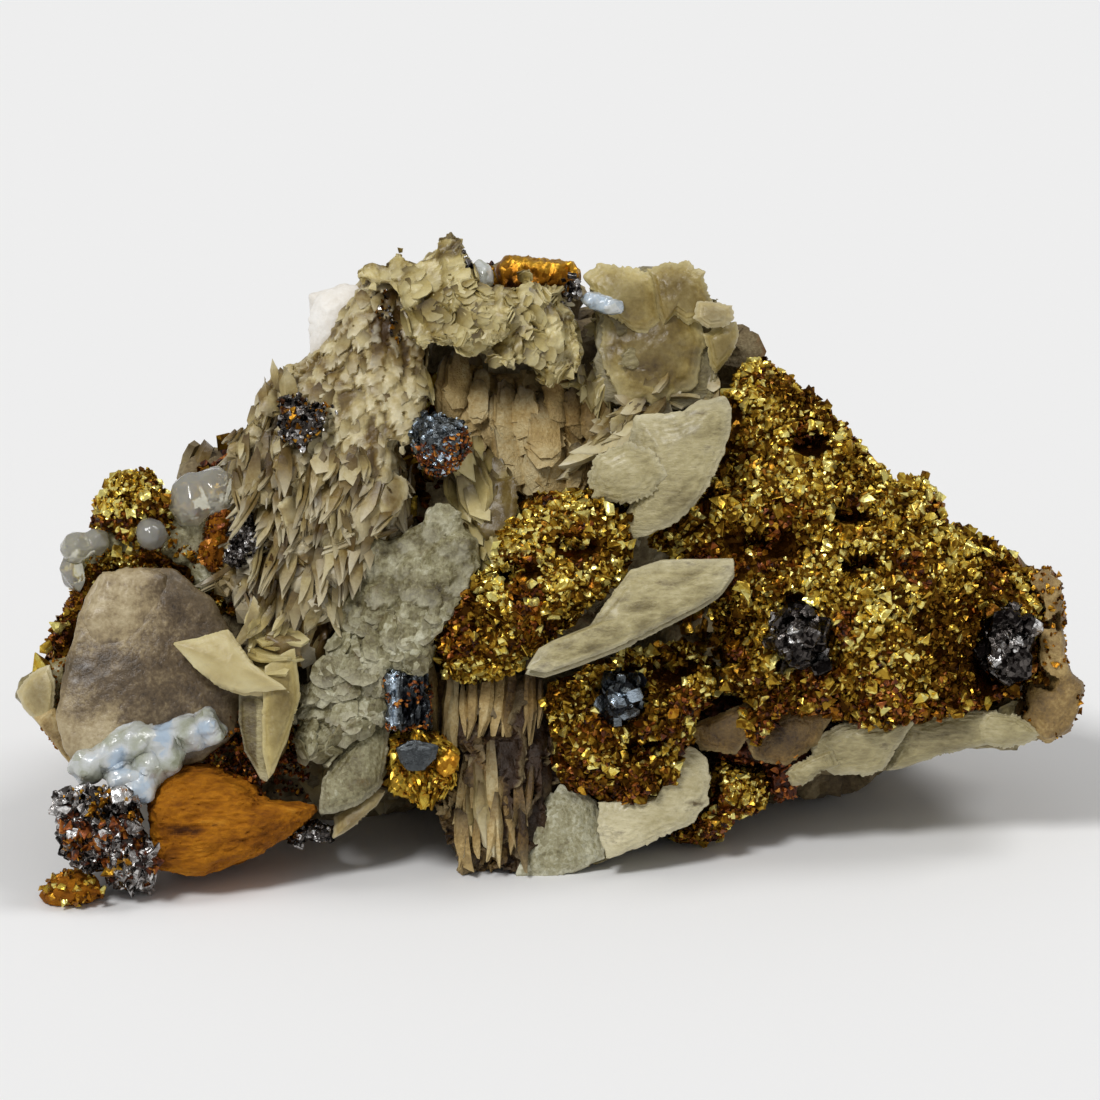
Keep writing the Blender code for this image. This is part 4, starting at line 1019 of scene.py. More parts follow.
def hood(piece):
    smooth = piece.ground(0.3, -0.6, ((3.0, 0.7), (0.8, 0.1)))
    smooth.points[:, 0] -= 0.45 * np.clip(smooth.points[:, 0] + 1, 0, None)

    def on_shelf(at):
        """0 on the left part, 1 on the stack that overhangs."""
        return np.clip((at[:, 0] + 13 - 3 * drift(at, 4.0)) / 2, 0, 1)

    def flow(at):
        shelf = on_shelf(at)
        return np.column_stack((0.2 + 0.5 * shelf + 0.5 * drift(at, 4.0), -0.3 * shelf, -0.9 + 0.2 * shelf))

    def size(at):
        shelf = on_shelf(at)[:, None]
        large = (1.0 + 0.7 * drift(at, 3.0))[:, None]
        return (1 - shelf) * np.array((2.2, 3.2, 0.35)) + shelf * large * np.array((2.1, 1.6, 0.55))

    ground, tone, tip = piece.shingled(smooth, 2.6, flow, size, 0.5)
    layered = 0.5 * drift(ground.points * (0.5, 1, 2.4), 1.7, 3.0)
    piece.lay(ground, "olive_scale", 0.5 + 0.25 * drift(ground.points, 3.0) + layered + tone, tip)
    places = piece.sow(smooth, 1.3, lambda at, out: to_sides(at, out) & (at[:, 2] < 61) & (at[:, 0] < 2))
    at, shelf = places[0], on_shelf(places[0]) > 0.5
    chance = piece.rng.random(len(at))

    def blades(picked, height, size, tones, *settings):
        piece.scales(raised(places, picked, height), flow(at[picked]), size, "olive_scale", tones, *settings)

    picked = shelf & (chance < 0.6)
    turned = 0.3 * drift(at[picked], 4.0)
    blades(picked, 0.45, (1.7, 1.8, 0.13), patchy(0.5, 0.45), 13, turned, BROADS, 2, 0.35, 0.28, 0.4)
    blades(~shelf & (chance < 0.2), 0.2, (1.8, 2.4, 0.16), patchy(0.55), 6, 0, BROADS, 1, 0.5)
    piece.druse(
        facing([(-8.6 + 0.2 * s, -0.2, 62.8 - 0.5 * s) for s in range(8)]), 0.6, "lead_dark", 0.3, BLOCKS
    )
    across, depth = piece.rng.normal(2.3, 0.5, 16), np.full(16, front_at(smooth, 0.6, 58))
    purple = np.column_stack((across, depth, piece.rng.normal(59.2, 0.6, 16)))
    piece.druse(facing(purple), 0.8, "lead_dark", 0.3, BLOCKS)


def cream_column(piece):
    ground = piece.skin("olive_scale", 0.5, 0.4, 0.3, 0)
    front = piece.sow(ground, 0.9, to_front)
    piece.scales(front, (-0.3, 0, -1), (1.2, 3.4, 0.3), "olive_scale", patchy(0.62), 10, 0.4, POINTS)


def oblique_stack(piece):
    ground = piece.skin("tan_scale", 0.4, 0.3, 0.3, -0.2)
    for step in range(6):
        place = single((3.9 + 1.0 * step, 2.2 - 0.25 * step, 43.2 + 0.55 * step), (-0.45, -0.7, 0.55))
        piece.scales(place, (-0.9, 0, -0.55), (2.4, 6.6, 0.5), "tan_scale", 0.6, 6, 0, LEAVES)
    front = piece.sow(ground, 1.0, to_front)
    piece.scales(front, (-0.9, 0, -0.6), (1.6, 3, 0.3), "tan_scale", patchy(0.5), 10, 0.3)


def upright_blades(piece):
    piece.skin("tan_scale", 0.35, 0.3, 0.3, -0.3)
    left = ((-31, 19), (-28.4, 19.2), (-27.8, 14), (-28, 9.8), (-28.8, 10.2), (-30.4, 13), (-31, 16))
    right = ((-28.4, 21.6), (-25.4, 23.4), (-24.8, 18.6), (-26, 14.4), (-27.9, 9.8), (-28.6, 13), (-28.6, 17))
    small = ((-29.6, 28.6), (-29.8, 26), (-31.8, 23.6), (-31.2, 23.2), (-29.4, 24.6), (-28.6, 27))

    def edge_lit(at):
        return 0.15 + 0.35 * (at[:, 0] > -29.2)

    piece.plate(left, -5.4, (-0.3, 0), 0.9, 0.2, "grey_plate", edge_lit, 0.05, (0.8,), rounding=5, **MEDIUM)
    piece.plate(right, -6, (0.35, 0), 0.9, 0.3, "olive_scale", 0.52, 0.08, (0.8, 0.5), rounding=5, **MEDIUM)
    piece.plate(small, -5.6, (0.3, 0), 0.7, 0.2, "tan_scale", 0.6, 0.08, (0.8,), rounding=5, **COARSE)
    for step in range(7):
        place = single((-27.6 + 0.1 * step, -5.4 + 0.3 * step, 21.6 + 0.5 * step), (0.05, -0.35, 1.0))
        piece.scales(place, (0.7, -0.7, 0), (4.2, 4.4, 0.3), "olive_scale", 0.6, 0, 0, ROUNDS)
    spans = ((-30, -26.6), (-6, -4.4), (22.5, 26.5))
    at = np.column_stack([piece.rng.uniform(low, high, 14) for low, high in spans])
    places = at, np.tile((-0.5, -1.0, 0.3), (14, 1))
    piece.scales(places, (-0.3, 0, -1), (1.2, 3.4, 0.3), "olive_scale", 0.6, 8, 0.5, POINTS)


def green_blades(piece):
    piece.skin("olive_scale", 0.3, 0.2, 0.3, -0.2)
    rows = (
        (-8.6, -0.6, 41.4, 0.42, 0.64), (-7.0, 0.4, 42.6, 0.42, 0.5), (-9.4, 0.0, 38.8, 0.36, 0.58),
        (-5.6, 0.6, 41.2, 0.3, 0.46),
    )
    for x, y, z, run, tone in rows:
        steps = np.arange(7)[:, None]
        at = (
            np.array((x, y, z)) + steps * np.array((run * 1.25, -0.12, -1.25))
            + piece.rng.normal(0, 0.25, (7, 3))
        )
        out = np.column_stack((0.9 * np.cos(1.7 * steps), -np.ones((7, 1)), np.full((7, 1), 0.2)))
        piece.scales(
            (at, out), (run, 0, -1), (1.9, 4.4, 0.45), "olive_scale", tone, 6, 0, LEAVES, 2, 0.1, 0.3, 0.5
        )


def recess_blades(piece):
    smooth = piece.ground(0.3, -0.2)

    def flow(at):
        return downward(at, 0.3 * drift(at, 5.0, 5.0))

    ground, tone, tip = piece.shingled(smooth, 2.4, flow, always(2.4, 6.0, 1.2), 0.6)
    piece.lay(ground, "brown_scale", 0.6 + 0.2 * drift(ground.points, 3.0) + tone, tip)
    lobes = (
        (-9.2, 5.4, 49.2, 0.5, 0.7), (-7.2, 5.0, 48.6, -0.3, 0.8), (-4.4, 4.6, 47.4, 0.7, 0.72),
        (-2.6, 4.0, 46.2, -0.4, 0.8), (-0.6, 3.4, 45.4, 0.3, 0.86), (-3.6, 4.4, 42.8, 0.6, 0.76),
        (-1.4, 3.6, 41.6, -0.2, 0.84), (0.2, 4.2, 41.8, 0.6, 0.7), (4.6, 5.0, 47.6, 0.9, 0.5),
        (3.0, 4.8, 45.8, 0.9, 0.56), (2.4, 4.0, 41.6, -0.3, 0.7), (-7.4, 6.2, 42.0, 0.4, 0.5),
        (1.4, 4.8, 48.4, 0.8, 0.6),
    )
    for x, y, z, side, tone in lobes:
        hung = (6, 0, LOBES, 3, 0.16, 0.45, 1.0)
        place = single((x, y, z), (side, -1.0, 0.15))
        piece.scales(place, (0.12 * side, 0, -1), (3.0, 6.4, 0.5), "brown_scale", tone, *hung)
    corner = single((-12.2, 0.2, 49.6), (0.4, -1.0, 0.1))
    piece.scales(corner, (0.3, 0, -1), (2.0, 5.0, 0.5), "olive_scale", 0.6, 4, 0, LEAVES, 2, 0.1)


def blade_column(piece):
    smooth = piece.ground(0.28, -0.6, ((2.0, 0.4), (0.7, 0.1)))

    def flow(at):
        return downward(at, 0.2 * drift(at, 3.0, 5.0))

    def shade(at):
        """Long streaks, and painted shade on the right side, which lies in deep shade."""
        return 0.38 + 0.25 * drift(at * (1.4, 1, 0.3), 2.0) - 0.42 * np.clip((at[:, 0] + 5.2) / 2, 0, 1)

    ground, tone, tip = piece.shingled(smooth, 2.2, flow, always(1.5, 8.0, 1.0), 1.0)
    # Painted shade: the ground between and behind the blades is laid 0.3 darker.
    piece.lay(ground, "brown_scale", shade(ground.points) - 0.3 + tone, tip)
    for tips, long, forward, count in ((13.4, 7.6, 0.9, 15), (4.2, 8.4, 0.5, 15), (1.6, 6.0, 0.8, 10)):
        for x in np.linspace(-11.6, -1.4, count) + piece.rng.uniform(-0.3, 0.3, count):
            if tips < 8 and (x < -9.4 or x > -2):
                continue
            z = tips + 0.5 * long + piece.rng.uniform(-1.2, 1.2)
            turned = piece.rng.choice((-0.75, 0.75)) + piece.rng.uniform(-0.2, 0.2)
            place = single((x, front_at(smooth, x, z) - forward, z), (turned, -1.0, 0.06))
            # The blades in front are painted 0.3 lighter than the shaded ground behind them.
            size, bright = (1.3, long, 0.4), lambda at: shade(at) + 0.3
            piece.scales(place, (0.05 * turned, 0, -1), size, "brown_scale", bright, 3, 0, POINTS, 1, 0.08)
    heads = ((-7.2, -1.2, 7.8, -0.9), (-6.5, -1.2, 7.6, 0.9), (-5.6, -0.6, 6.4, 0.6), (-8.4, -0.6, 5.8, -0.7))
    places = np.array(heads)[:, :3], np.array([(head[3], -1.0, 0.0) for head in heads])
    piece.scales(places, (0, 0, -1), (1.3, 6.4, 0.5), "tan_scale", 0.5, 2, 0, POINTS, 1, 0.04)


# Plates.


def bottom_disc(piece):
    piece.skin("grey_plate", 0.35, 0.2, 0.34, -0.4)
    left = ((4.8, 8), (1, 9.5), (-0.5, 8), (-2.6, 3.6), (-3.4, 0.4), (0, 0.2), (3, 1), (5.6, 2), (5.2, 5))
    piece.plate(left, 2.4, (0.06, 0.2), 1.2, 0.5, "grainy", patchy(0.72), rounding=9)
    right = (
        (16.2, 10), (15.5, 12.5), (13.6, 13.4), (12.4, 11.6), (12, 9), (8, 7.6), (5, 8), (4.6, 5), (5.6, 2.1),
        (9, 3.2), (11, 4.2), (14, 5.5), (15.8, 7.4),
    )
    piece.plate(right, 1.4, (0.08, 0.24), 1.2, 0.5, "grey_plate", patchy(0.8), rounding=9)


def smoky_disc(piece):
    piece.skin("smoky", 0.3, 0.2, 0.34, -0.5)

    def shade(at):
        upper = np.clip((at[:, 2] - 22) / 4, 0, 1) * np.clip((-38.5 - at[:, 0]) / 3, 0, 1)
        lower = np.clip((20 - at[:, 2]) / 5, 0, 1) * np.clip((-40 - at[:, 0]) / 4, 0, 1)
        bands = 0.07 * np.sin(4.2 * at[:, 2] + 3 * drift(at, 3.0))
        return 0.24 + 0.46 * upper + 0.46 * lower + bands * upper + 0.14 * drift(at, 1.6)

    outline = (
        (-45, 30.6), (-41, 31.2), (-37.6, 31.2), (-33.5, 28), (-31.3, 24), (-30.5, 19), (-31.5, 14.5),
        (-35, 11.8), (-41, 10.6), (-46.5, 10.8), (-48.4, 13), (-49.2, 16.5), (-48.6, 20), (-47.6, 24),
        (-46.5, 28),
    )
    piece.plate(
        outline, -3.0, (0.1, 0.09), 2.2, 0.8, "smoky", shade, 0.1, (0.95, 0.8), 0.1, 0.35, 0.08, 15, 220, 64
    )
    bright = (
        (-44.6, 30.8), (-41, 31.4), (-38.2, 30.6), (-37.8, 27.6), (-38.6, 24), (-41, 22.4), (-45, 23),
        (-46.6, 26),
    )
    piece.plate(
        bright, -3.3, (0.1, 0.09), 2.0, 0.5, "smoky", shade, 0.1, (0.94, 0.84), 0.08, 0.35, 0.08, 11, 160, 44
    )


def tan_plate(piece):
    ground = piece.skin("grey_plate", patchy(0.42, 0.1, 2.0, 0), 0.4, 0.3, 0, ((2.0, 0.35), (0.6, 0.12)))
    at, out = piece.sow(
        ground, 0.5, lambda at, out: (out[:, 1] < 0.4) & (at[:, 0] + 0.4 * drift(at, 1.0) > -50.6)
    )
    piece.druse((at, out), 0.3, "rust", 0.5)
    piece.plate(
        ((-53.3, 18.8), (-52, 20.6), (-50, 21.6), (-49.3, 19.6), (-49.6, 16.4), (-51, 15.6), (-52.6, 17.2)),
        -1.2,
        (-0.3, 0), 0.9, 0.3, "tan_scale", 0.6, 0.08, (0.85,), **COARSE,
    )
    rusty = ((-51.8, 16.6), (-50.2, 18), (-48.4, 16), (-47, 12.6), (-47.3, 10.8), (-49, 13))
    piece.plate(
        rusty, -1.6, (-0.2, 0), 1.0, 0.3, "brown_scale", patchy(0.7, 0.3, 1.5), 0.12, (0.85, 0.6), grain=0.2,
        **COARSE,
    )


def lens_crystal(piece):
    def grain(at):
        """Faint growth lines along the crystal."""
        return 0.55 + 0.5 * drift(
            np.column_stack((at @ (0.3, 0, -0.5), at[:, 1], at @ (0.8, 0, 1.4))), 1.6, 2.0
        )

    outline = (
        (-37.6, 23.8), (-34.5, 24.4), (-32, 25.2), (-30.8, 23.4), (-29.6, 21.8), (-27.6, 20.2), (-25.8, 19.2),
        (-28.2, 18.9), (-30.6, 18.8), (-33.2, 19.7), (-35.4, 21.4),
    )
    piece.plate(
        outline, -7.2, (0, 0.12), 0.9, 0.35, "lens_yellow", grain, 0.07, (0.93, 0.7), 0.08, 0.25, 0.06, 5,
        160, 40
    )
    lower = [(x + 0.3, z - 0.35) for x, z in outline]
    piece.plate(
        lower, -6.2, (0, 0.12), 0.9, 0.2, "lens_yellow", 0.3, 0.05, (0.93,), 0.1, 0.15, 0.03, 5, 160, 40
    )


def granular_plate(piece):
    ground = piece.ground(0.27, -0.1, ((3.0, 0.45), (0.7, 0.14)))

    def flow(at):
        return np.column_stack((-0.4 + 0.5 * drift(at, 6.0), np.zeros(len(at)), -np.ones(len(at))))

    def size(at):
        return np.column_stack((np.full((len(at), 2), 2.6), 0.1 + 0.07 * (32 - at[:, 2]).clip(0, 12)))

    ground, tone, tip = piece.shingled(ground, 2.2, flow, size, 0.5)
    low = np.clip((30 - ground.points[:, 2]) / 6, 0, 1)
    sugar = 0.16 * drift(ground.points, 0.9, 3.0) + 0.1 * drift(ground.points, 0.45, 8.0)
    ground.points += ground.outs * (sugar * (1.3 - low))[:, None]
    patches = 0.3 * drift(ground.points, 3.4) + 0.9 * sugar
    piece.lay(ground, "grainy", 0.5 + patches + tone * (0.3 + 0.7 * low), np.maximum(tip, 0.5 * (1 - low)))
    edge = piece.sow(ground, 1.5, lambda at, out: (out[:, 1] < 0.2) & (at[:, 2] < 27))
    piece.scales(edge, (-0.3, 0, -1), (2.2, 2.6, 0.2), "grainy", patchy(0.5), 9, 0, BROADS)


def grey_disc(piece):
    piece.skin("grey_plate", 0.4, 0.3, 0.3, -0.3)
    outline = (
        (-16, 16), (-16.2, 12.6), (-16.8, 9.4), (-18.6, 7.8), (-21, 6.8), (-23, 6.6), (-22.8, 10),
        (-21, 12.6), (-18.6, 15),
    )
    piece.plate(outline, -2.2, (0.05, 0.12), 1.2, 0.5, "grainy", patchy(0.46), 0.1)
    low = ((-17.6, 9.4), (-16.4, 9), (-17.2, 7.6), (-19.6, 5.4), (-21.8, 4), (-21.6, 6.4))
    piece.plate(low, -1.2, (0, 0.1), 1.2, 0.3, "tan_scale", 0.5, 0.1, segments=80, rings=24)


def disc_plate(piece):
    piece.skin("grey_plate", 0.4, 0.3, 0.3, -0.55)
    large = (
        (8.5, 46.5), (13, 46.8), (15, 48), (17, 48.4), (18.2, 47.2), (18, 45), (17.2, 42.5), (16.2, 40),
        (15, 38), (13, 36), (10, 34.5), (7, 33.8), (6.8, 35), (8.2, 38), (7.4, 42),
    )
    piece.plate(large, -3.3, (-0.1, 0.06), 1.0, 0.6, tones=patchy(0.55), rounding=9)
    small = (
        (3.6, 39.8), (4.4, 42.2), (7.4, 43.8), (10.4, 43), (11.6, 40.6), (10.2, 38.4), (7, 37.4), (4.4, 38)
    )
    piece.plate(small, -4.4, (-0.05, 0.08), 0.9, 0.6, tones=patchy(0.6), jag=0.22, rounding=13)


def lens_blade(piece):
    along = np.array(((0.5, 0, -0.9), (0, 1, 0), (0.9, 0, 1.6)))

    def cracked(at):
        """Fine dark lines along the blade."""
        return 0.66 - 0.5 * np.abs(drift(at @ along, 2.2, 3.0))

    outline = (
        (-2.5, 21.2), (-1, 23.5), (4, 25.5), (6, 28.5), (8, 31), (11, 32), (18.4, 32.2), (18.3, 30.7),
        (17, 28.8), (15, 27.5), (11, 25.5), (7, 23.5), (3, 22), (-0.5, 20.8),
    )
    under = [(x, z - 0.5) for x, z in outline]
    rest = (0.1, 0.2, 0.06, 5)
    piece.plate(
        outline, -6.4, (0.12, 0.3), 1.0, 0.5, "grey_plate", cracked, 0.06, (0.94, 0.7), *rest, 200, 48
    )
    piece.plate(under, -5.4, (0.12, 0.3), 0.9, 0.2, "grey_plate", 0.4, 0.08, (0.94,), *rest, 160, 36)


def upper_plates(piece):
    ground = piece.skin("grey_plate", patchy(0.35, 0.15, 3.0, 0), 0.3, 0.34, -0.4)
    back = (
        (5, 57), (7.5, 56), (10, 54.6), (13, 57), (15, 55.8), (15.8, 53.5), (16.4, 51), (16.5, 48.5),
        (13, 47), (9, 47), (5, 48), (4.4, 51),
    )
    left = (
        (3.4, 60.4), (5, 61.8), (6.5, 61.7), (9, 61), (10.6, 60.8), (11.2, 58), (11.4, 55.6), (10, 54.6),
        (8.4, 54.8), (7, 55.8), (6, 56.6), (4.6, 58),
    )
    right = (
        (9.8, 61), (11, 61.8), (14, 61.9), (15.4, 60.8), (16, 58.8), (16.4, 57.2), (15.4, 55.8), (13.8, 55.6),
        (12.4, 56.6), (11.2, 55.2), (10.4, 57.5),
    )
    lobe = ((14.6, 58), (16.4, 57.9), (18.3, 57.5), (18.5, 56.2), (17.6, 55.4), (15.8, 55.2), (14.4, 56.2))
    honey = (
        (15.4, 54.6), (17.4, 55.8), (18.8, 56), (19, 54.6), (18.6, 53.2), (17.8, 52), (16.6, 50.6),
        (16, 51.4), (15.8, 53),
    )
    middle = (
        (5.4, 57.4), (8, 60.2), (11.4, 60.6), (14.6, 58.4), (15.8, 54), (14.6, 49.4), (11, 47.4), (7, 48),
        (5, 52),
    )
    piece.plate(back, 4.6, (0.02, 0.1), 1.6, 0.5, "grey_plate", patchy(0.33), 0.15)
    piece.plate(
        middle, 3.9, (0.05, 0.1), 1.3, 0.5, "olive_scale", patchy(0.3, 0.3, 2.5), 0.2, (0.92, 0.8, 0.62, 0.4),
        0.12, 0.6, 0.14,
    )
    piece.plate(honey, 3.8, (0.3, 0.05), 0.8, 0.3, "olive_scale", 0.42, 0.08, **MEDIUM)
    piece.plate(right, 3.4, (0.12, 0.12), 1.3, 0.5, "olive_scale", patchy(0.36), 0.16)
    piece.plate(left, 2.9, (0.1, 0.12), 1.3, 0.5, "olive_scale", patchy(0.52), 0.18)
    piece.plate(lobe, 2.6, (0.2, 0.1), 0.9, 0.4, "tan_scale", 0.66, 0.08, **MEDIUM)
    low = ((5.6, 54.4), (9, 55), (11.6, 53), (12, 50), (9, 48.6), (6, 49.6), (4.8, 52))
    piece.plate(low, 4.1, (0.02, 0.2), 1.0, 0.4, "grey_plate", patchy(0.3), 0.16)
    edge = piece.sow(ground, 1.8, lambda at, out: (out[:, 1] < 0.6) & (at[:, 2] < 50.5))
    piece.scales(edge, (0.4, 0, -1), (2.4, 3.4, 0.3), "tan_scale", patchy(0.44), 10, 0, ROUNDS)


def right_plates(piece):
    piece.skin("grey_plate", 0.35, 0.3, 0.34, -0.3)
    lobes = (
        (
            (
                (26, 13.8), (29, 15.6), (33, 16), (37, 16.2), (35, 13.4), (33.5, 10.8), (32, 10.3),
                (28.6, 10.4), (26.4, 11.6),
            ),
            5.2, 0.58,
        ),
        (
            ((35, 16), (40, 17), (45, 17), (44.6, 13.6), (40, 12.6), (35.4, 11), (33.6, 10.7), (35, 13.4)),
            5.8, 0.5,
        ),
        (
            ((43.4, 16.8), (47, 16.4), (49.6, 14.6), (48, 13.5), (45.6, 13.1), (43, 13.6), (42.4, 15.4)), 5.0,
            0.56,
        ),
        (
            ((23.4, 10.6), (25, 11.8), (28.6, 13.2), (29.4, 11.4), (27.4, 10.8), (25.4, 9.2), (24, 9.4)), 5.4,
            0.6,
        ),
    )
    for outline, depth, tone in lobes:
        piece.plate(outline, depth, (-0.05, -0.3), 1.0, 0.5, "grey_plate", patchy(tone), 0.14, rounding=9)


def white_plate(piece):
    piece.skin("white_stone", patchy(0.6, 0.2, 2.0, 0), 0.6, 0.25, 0.1, ((2.0, 0.25),))
    outline = (
        (-24.1, 52.6), (-24.2, 56), (-23.6, 58.2), (-22.4, 59.2), (-20, 59.7), (-18.6, 59.2), (-19, 55),
        (-21, 51.6),
    )
    piece.plate(outline, 4.4, (0.1, 0.1), 1.6, 0.4, "white_stone", patchy(0.6), 0.1, **MEDIUM)


# Crusts, blebs and rust.


def tip_crust(piece):
    ground = piece.ground(0.3, 0.1, ((3.0, 0.6), (0.8, 0.15)))
    shade = 0.42 + 0.3 * drift(ground.points, 3.4) + 0.2 * (ground.points[:, 2] > 28)
    piece.lay(ground, "brown_scale", shade, 0.6)
    at, out = piece.sow(ground, 0.8, lambda at, out: (out[:, 1] < 0.4) & (drift(at, 3.0, 8.0) > -0.05))
    piece.druse((at, out), 0.45, "old_gold", 0.4)
    deep = ground.points[:, 1].mean()
    foot = fused_beads(
        [(46.5, deep, 17.3), (45.5, deep, 18), (45.8, deep + 1, 16.8)], [(1.4, 1.2, 1.3)] * 3, 0.3,
        ((1.2, 0.3),),
    )
    piece.lay(foot, "brown_scale", 0.3, 0.5)


def brown_zone(piece):
    ground = piece.skin("rust_crystal", patchy(0.12, 0.15, 2.0, 0), 0.4, 0.34, -0.2, ((2.5, 0.5), (0.7, 0.2)))
    blades = (
        (((13.5, 15.2), (18, 17), (21.5, 18.4), (21, 15.6), (18.6, 12.4), (15, 13)), 3.8, 0.3),
        (((19.4, 14.6), (24, 17.2), (28.6, 16.8), (27, 13.6), (23.6, 11.2), (20.4, 12)), 4.8, 0.22),
    )
    for outline, depth, tone in blades:
        piece.plate(outline, depth, (0, -0.1), 0.9, 0.4, "brown_scale", tone, 0.1, **MEDIUM)
    at, out = piece.sow(ground, 0.8, lambda at, out: (out[:, 1] < 0.4) & (at[:, 2] < 12.5))
    piece.druse((at, out), 0.55, "rust_crystal", 0.5)


def rust_chunk(piece):
    ground = piece.ground(0.24, 0.0, ((3.0, 0.35),))
    along = ground.points * np.array((0.16, 0.6, 1.0)) + ground.points[:, :1] * np.array((0, 0, -0.12))
    fibres = 0.6 * drift(along, 0.4, 2.0) + 0.7 * drift(along, 0.2, 6.0)
    shreds = np.maximum(0, drift(along, 1.0, 8.0)) * 0.9
    ground = Ground(ground.points + ground.outs * (0.3 * fibres + 0.35 * shreds)[:, None], ground.faces)
    # Painted shade: a dark spot with no hollow under it stands for a shaded hole.
    painted_hole_shade = bell(ground.points, -36.2, 5.2, 1.9, 0.55)
    tones = 0.5 + 0.22 * fibres + 0.2 * drift(ground.points, 3.0) - 0.6 * painted_hole_shade
    piece.lay(ground, "rust", tones, 0.6)


def rust_ridge(piece):
    ground = piece.skin("rust", patchy(0.4, 0.3, 1.0, 0), 0.5, 0.28, 0.2, ((1.2, 0.35), (0.5, 0.2)))
    piece.druse(piece.sow(ground, 0.55, to_front), 0.36, "rust_crystal", 0.6)
    piece.druse(piece.sow(ground, 1.0, to_front), 0.5, "old_gold", 0.6)


def top_crust(piece):
    ground = piece.ground(0.26, 0.1, ((1.6, 0.3),))
    combed = ground.points * np.array((1.0, 0.5, 0.16))
    fibres = drift(combed, 0.4, 3.0)
    ground = Ground(ground.points + ground.outs * (0.3 * fibres)[:, None], ground.faces)
    height = (ground.points[:, 2] + 0.12 * ground.points[:, 0] - 58.6) / 3
    piece.lay(ground, "old_gold", 0.1 + 0.7 * np.clip(height, 0, 1) ** 1.5 + 0.2 * fibres, 0.7)


def pale_crystal(piece):
    piece.skin("milky_crust", 0.6, 0.6, 0.25, 0.1, ((1.2, 0.2),))


def white_crust(piece):
    piece.skin("milky_crust", 0.85, 0.8, 0.22, 0.25, ((1.0, 0.2), (0.4, 0.1)))


def clear_crust(piece):
    piece.skin("milky_crust", patchy(0.56, 0.8, 2.2, 0), 0.6, 0.2, 0.5, ((4.5, 0.7), (1.3, 0.2)))


def bleb(piece, voxel=0.2):
    piece.skin("clear_glass", 0.6, 0.6, voxel, 0.15, ((2.2, 0.15),))


def bleb_large(piece):
    bleb(piece)


def bleb_small(piece):
    bleb(piece, 0.14)


def blebs_left(piece):
    bleb(piece)


# Dark crystals.


def dark_lump(piece, finish="lead_dark", size=0.7, spacing=0.7, tone=0.4, voxel=0.22, sink=0.5):
    ground = piece.ground(voxel, -0.1, ((1.4, 0.5), (0.5, 0.15)))
    piece.lay(ground, finish, tone - 0.15, 0.5)
    piece.druse(piece.sow(ground, spacing, to_sides), size, finish, tone, BLOCKS, sink, 0.4)
    return ground


def glints(piece, ground, size, finish="lead_dark", tone=0.95):
    """Painted glints: a few bright crystals in the middle of a dark crystal, where its faces would catch the
    light.
    """
    middle = ground.points.mean(axis=0)
    at, out = piece.sow(ground, 0.6 * size, to_front)
    close = near(at, middle[0], middle[2], 1.1 * size)
    piece.druse((at[close], out[close]), size, finish, tone, BLOCKS, 0.3, 0.2)


def dark_cluster(piece):
    ground = piece.ground(0.22, -0.1, ((1.4, 0.5), (0.5, 0.15)))
    patches = patchy(0.46, 0.7, 2.6)
    piece.lay(ground, "lead_dark", patches(ground.points) - 0.15, 0.5)
    piece.druse(piece.sow(ground, 0.7, to_sides), 0.75, "lead_dark", patches, BLOCKS, 0.5, 0.2, 0.3)
    piece.druse(
        piece.sow(ground, 1.6, to_front), 1.4, "lead_dark", lambda at: patches(at) + 0.12, SHARDS, 0.5, 0.2
    )

    def patch(size, start, least, test):
        return piece.sow(
            ground, 0.6, lambda at, out: (out[:, 1] < 0.3) & (drift(at, size, start) > least) & test(at)
        )

    piece.druse(patch(1.5, 3.0, 0.0, lambda at: at[:, 2] > 8.2), 0.55, "old_gold", 0.65)
    piece.druse(patch(2.6, 3.0, -0.05, lambda at: at[:, 2] < 7.4), 0.8, "rust_crystal", 0.4)
    piece.druse(patch(2.6, 8.0, 0.1, lambda at: at[:, 2] < 8), 0.7, "old_gold", 0.3)
    slope = piece.sow(ground, 0.9, lambda at, out: (out[:, 1] < 0.4) & (at[:, 0] > -44) & (at[:, 2] < 4))
    piece.scales(slope, (-0.3, 0, -1), (0.9, 2.6, 0.25), "lead_dark", 0.6, 8, 0.3, POINTS, 2)


def dark_ball(piece):
    ground = dark_lump(piece, "blue_steel", 0.55, 0.55, 0.5, sink=0.9)

    def lower_half(at, out):
        """Under a slanting, uneven line."""
        slant = at[:, 2] - 0.35 * at[:, 0]
        return (out[:, 1] < 0.5) & (slant < 47.6 + piece.rng.normal(0, 0.5, len(at)))

    piece.druse(piece.sow(ground, 0.4, lower_half), 0.4, "rust_crystal", 0.6)


def dark_specks(piece):
    ground = dark_lump(piece, size=0.5, spacing=0.6)
    piece.druse(piece.sow(ground, 0.9, to_front), 0.5, "old_gold", 0.3)


def dark_grain(piece):
    dark_lump(piece, size=0.5, spacing=0.55)


def dark_blob(piece):
    dark_lump(piece, size=0.5, spacing=0.6)


def dark_crystal_right(piece):
    ground = dark_lump(piece, size=1.9, spacing=1.5, tone=0.26, sink=1.0)
    glints(piece, ground, 0.9)


def dark_crystal_tip(piece):
    ground = dark_lump(piece, size=2.0, spacing=1.6, tone=0.24, sink=1.0)
    glints(piece, ground, 1.0, tone=0.6)


def dark_crystal_lower(piece):
    ground = dark_lump(piece, "blue_steel", 1.6, 1.3, 0.22, sink=1.0)
    glints(piece, ground, 0.7, "blue_steel")


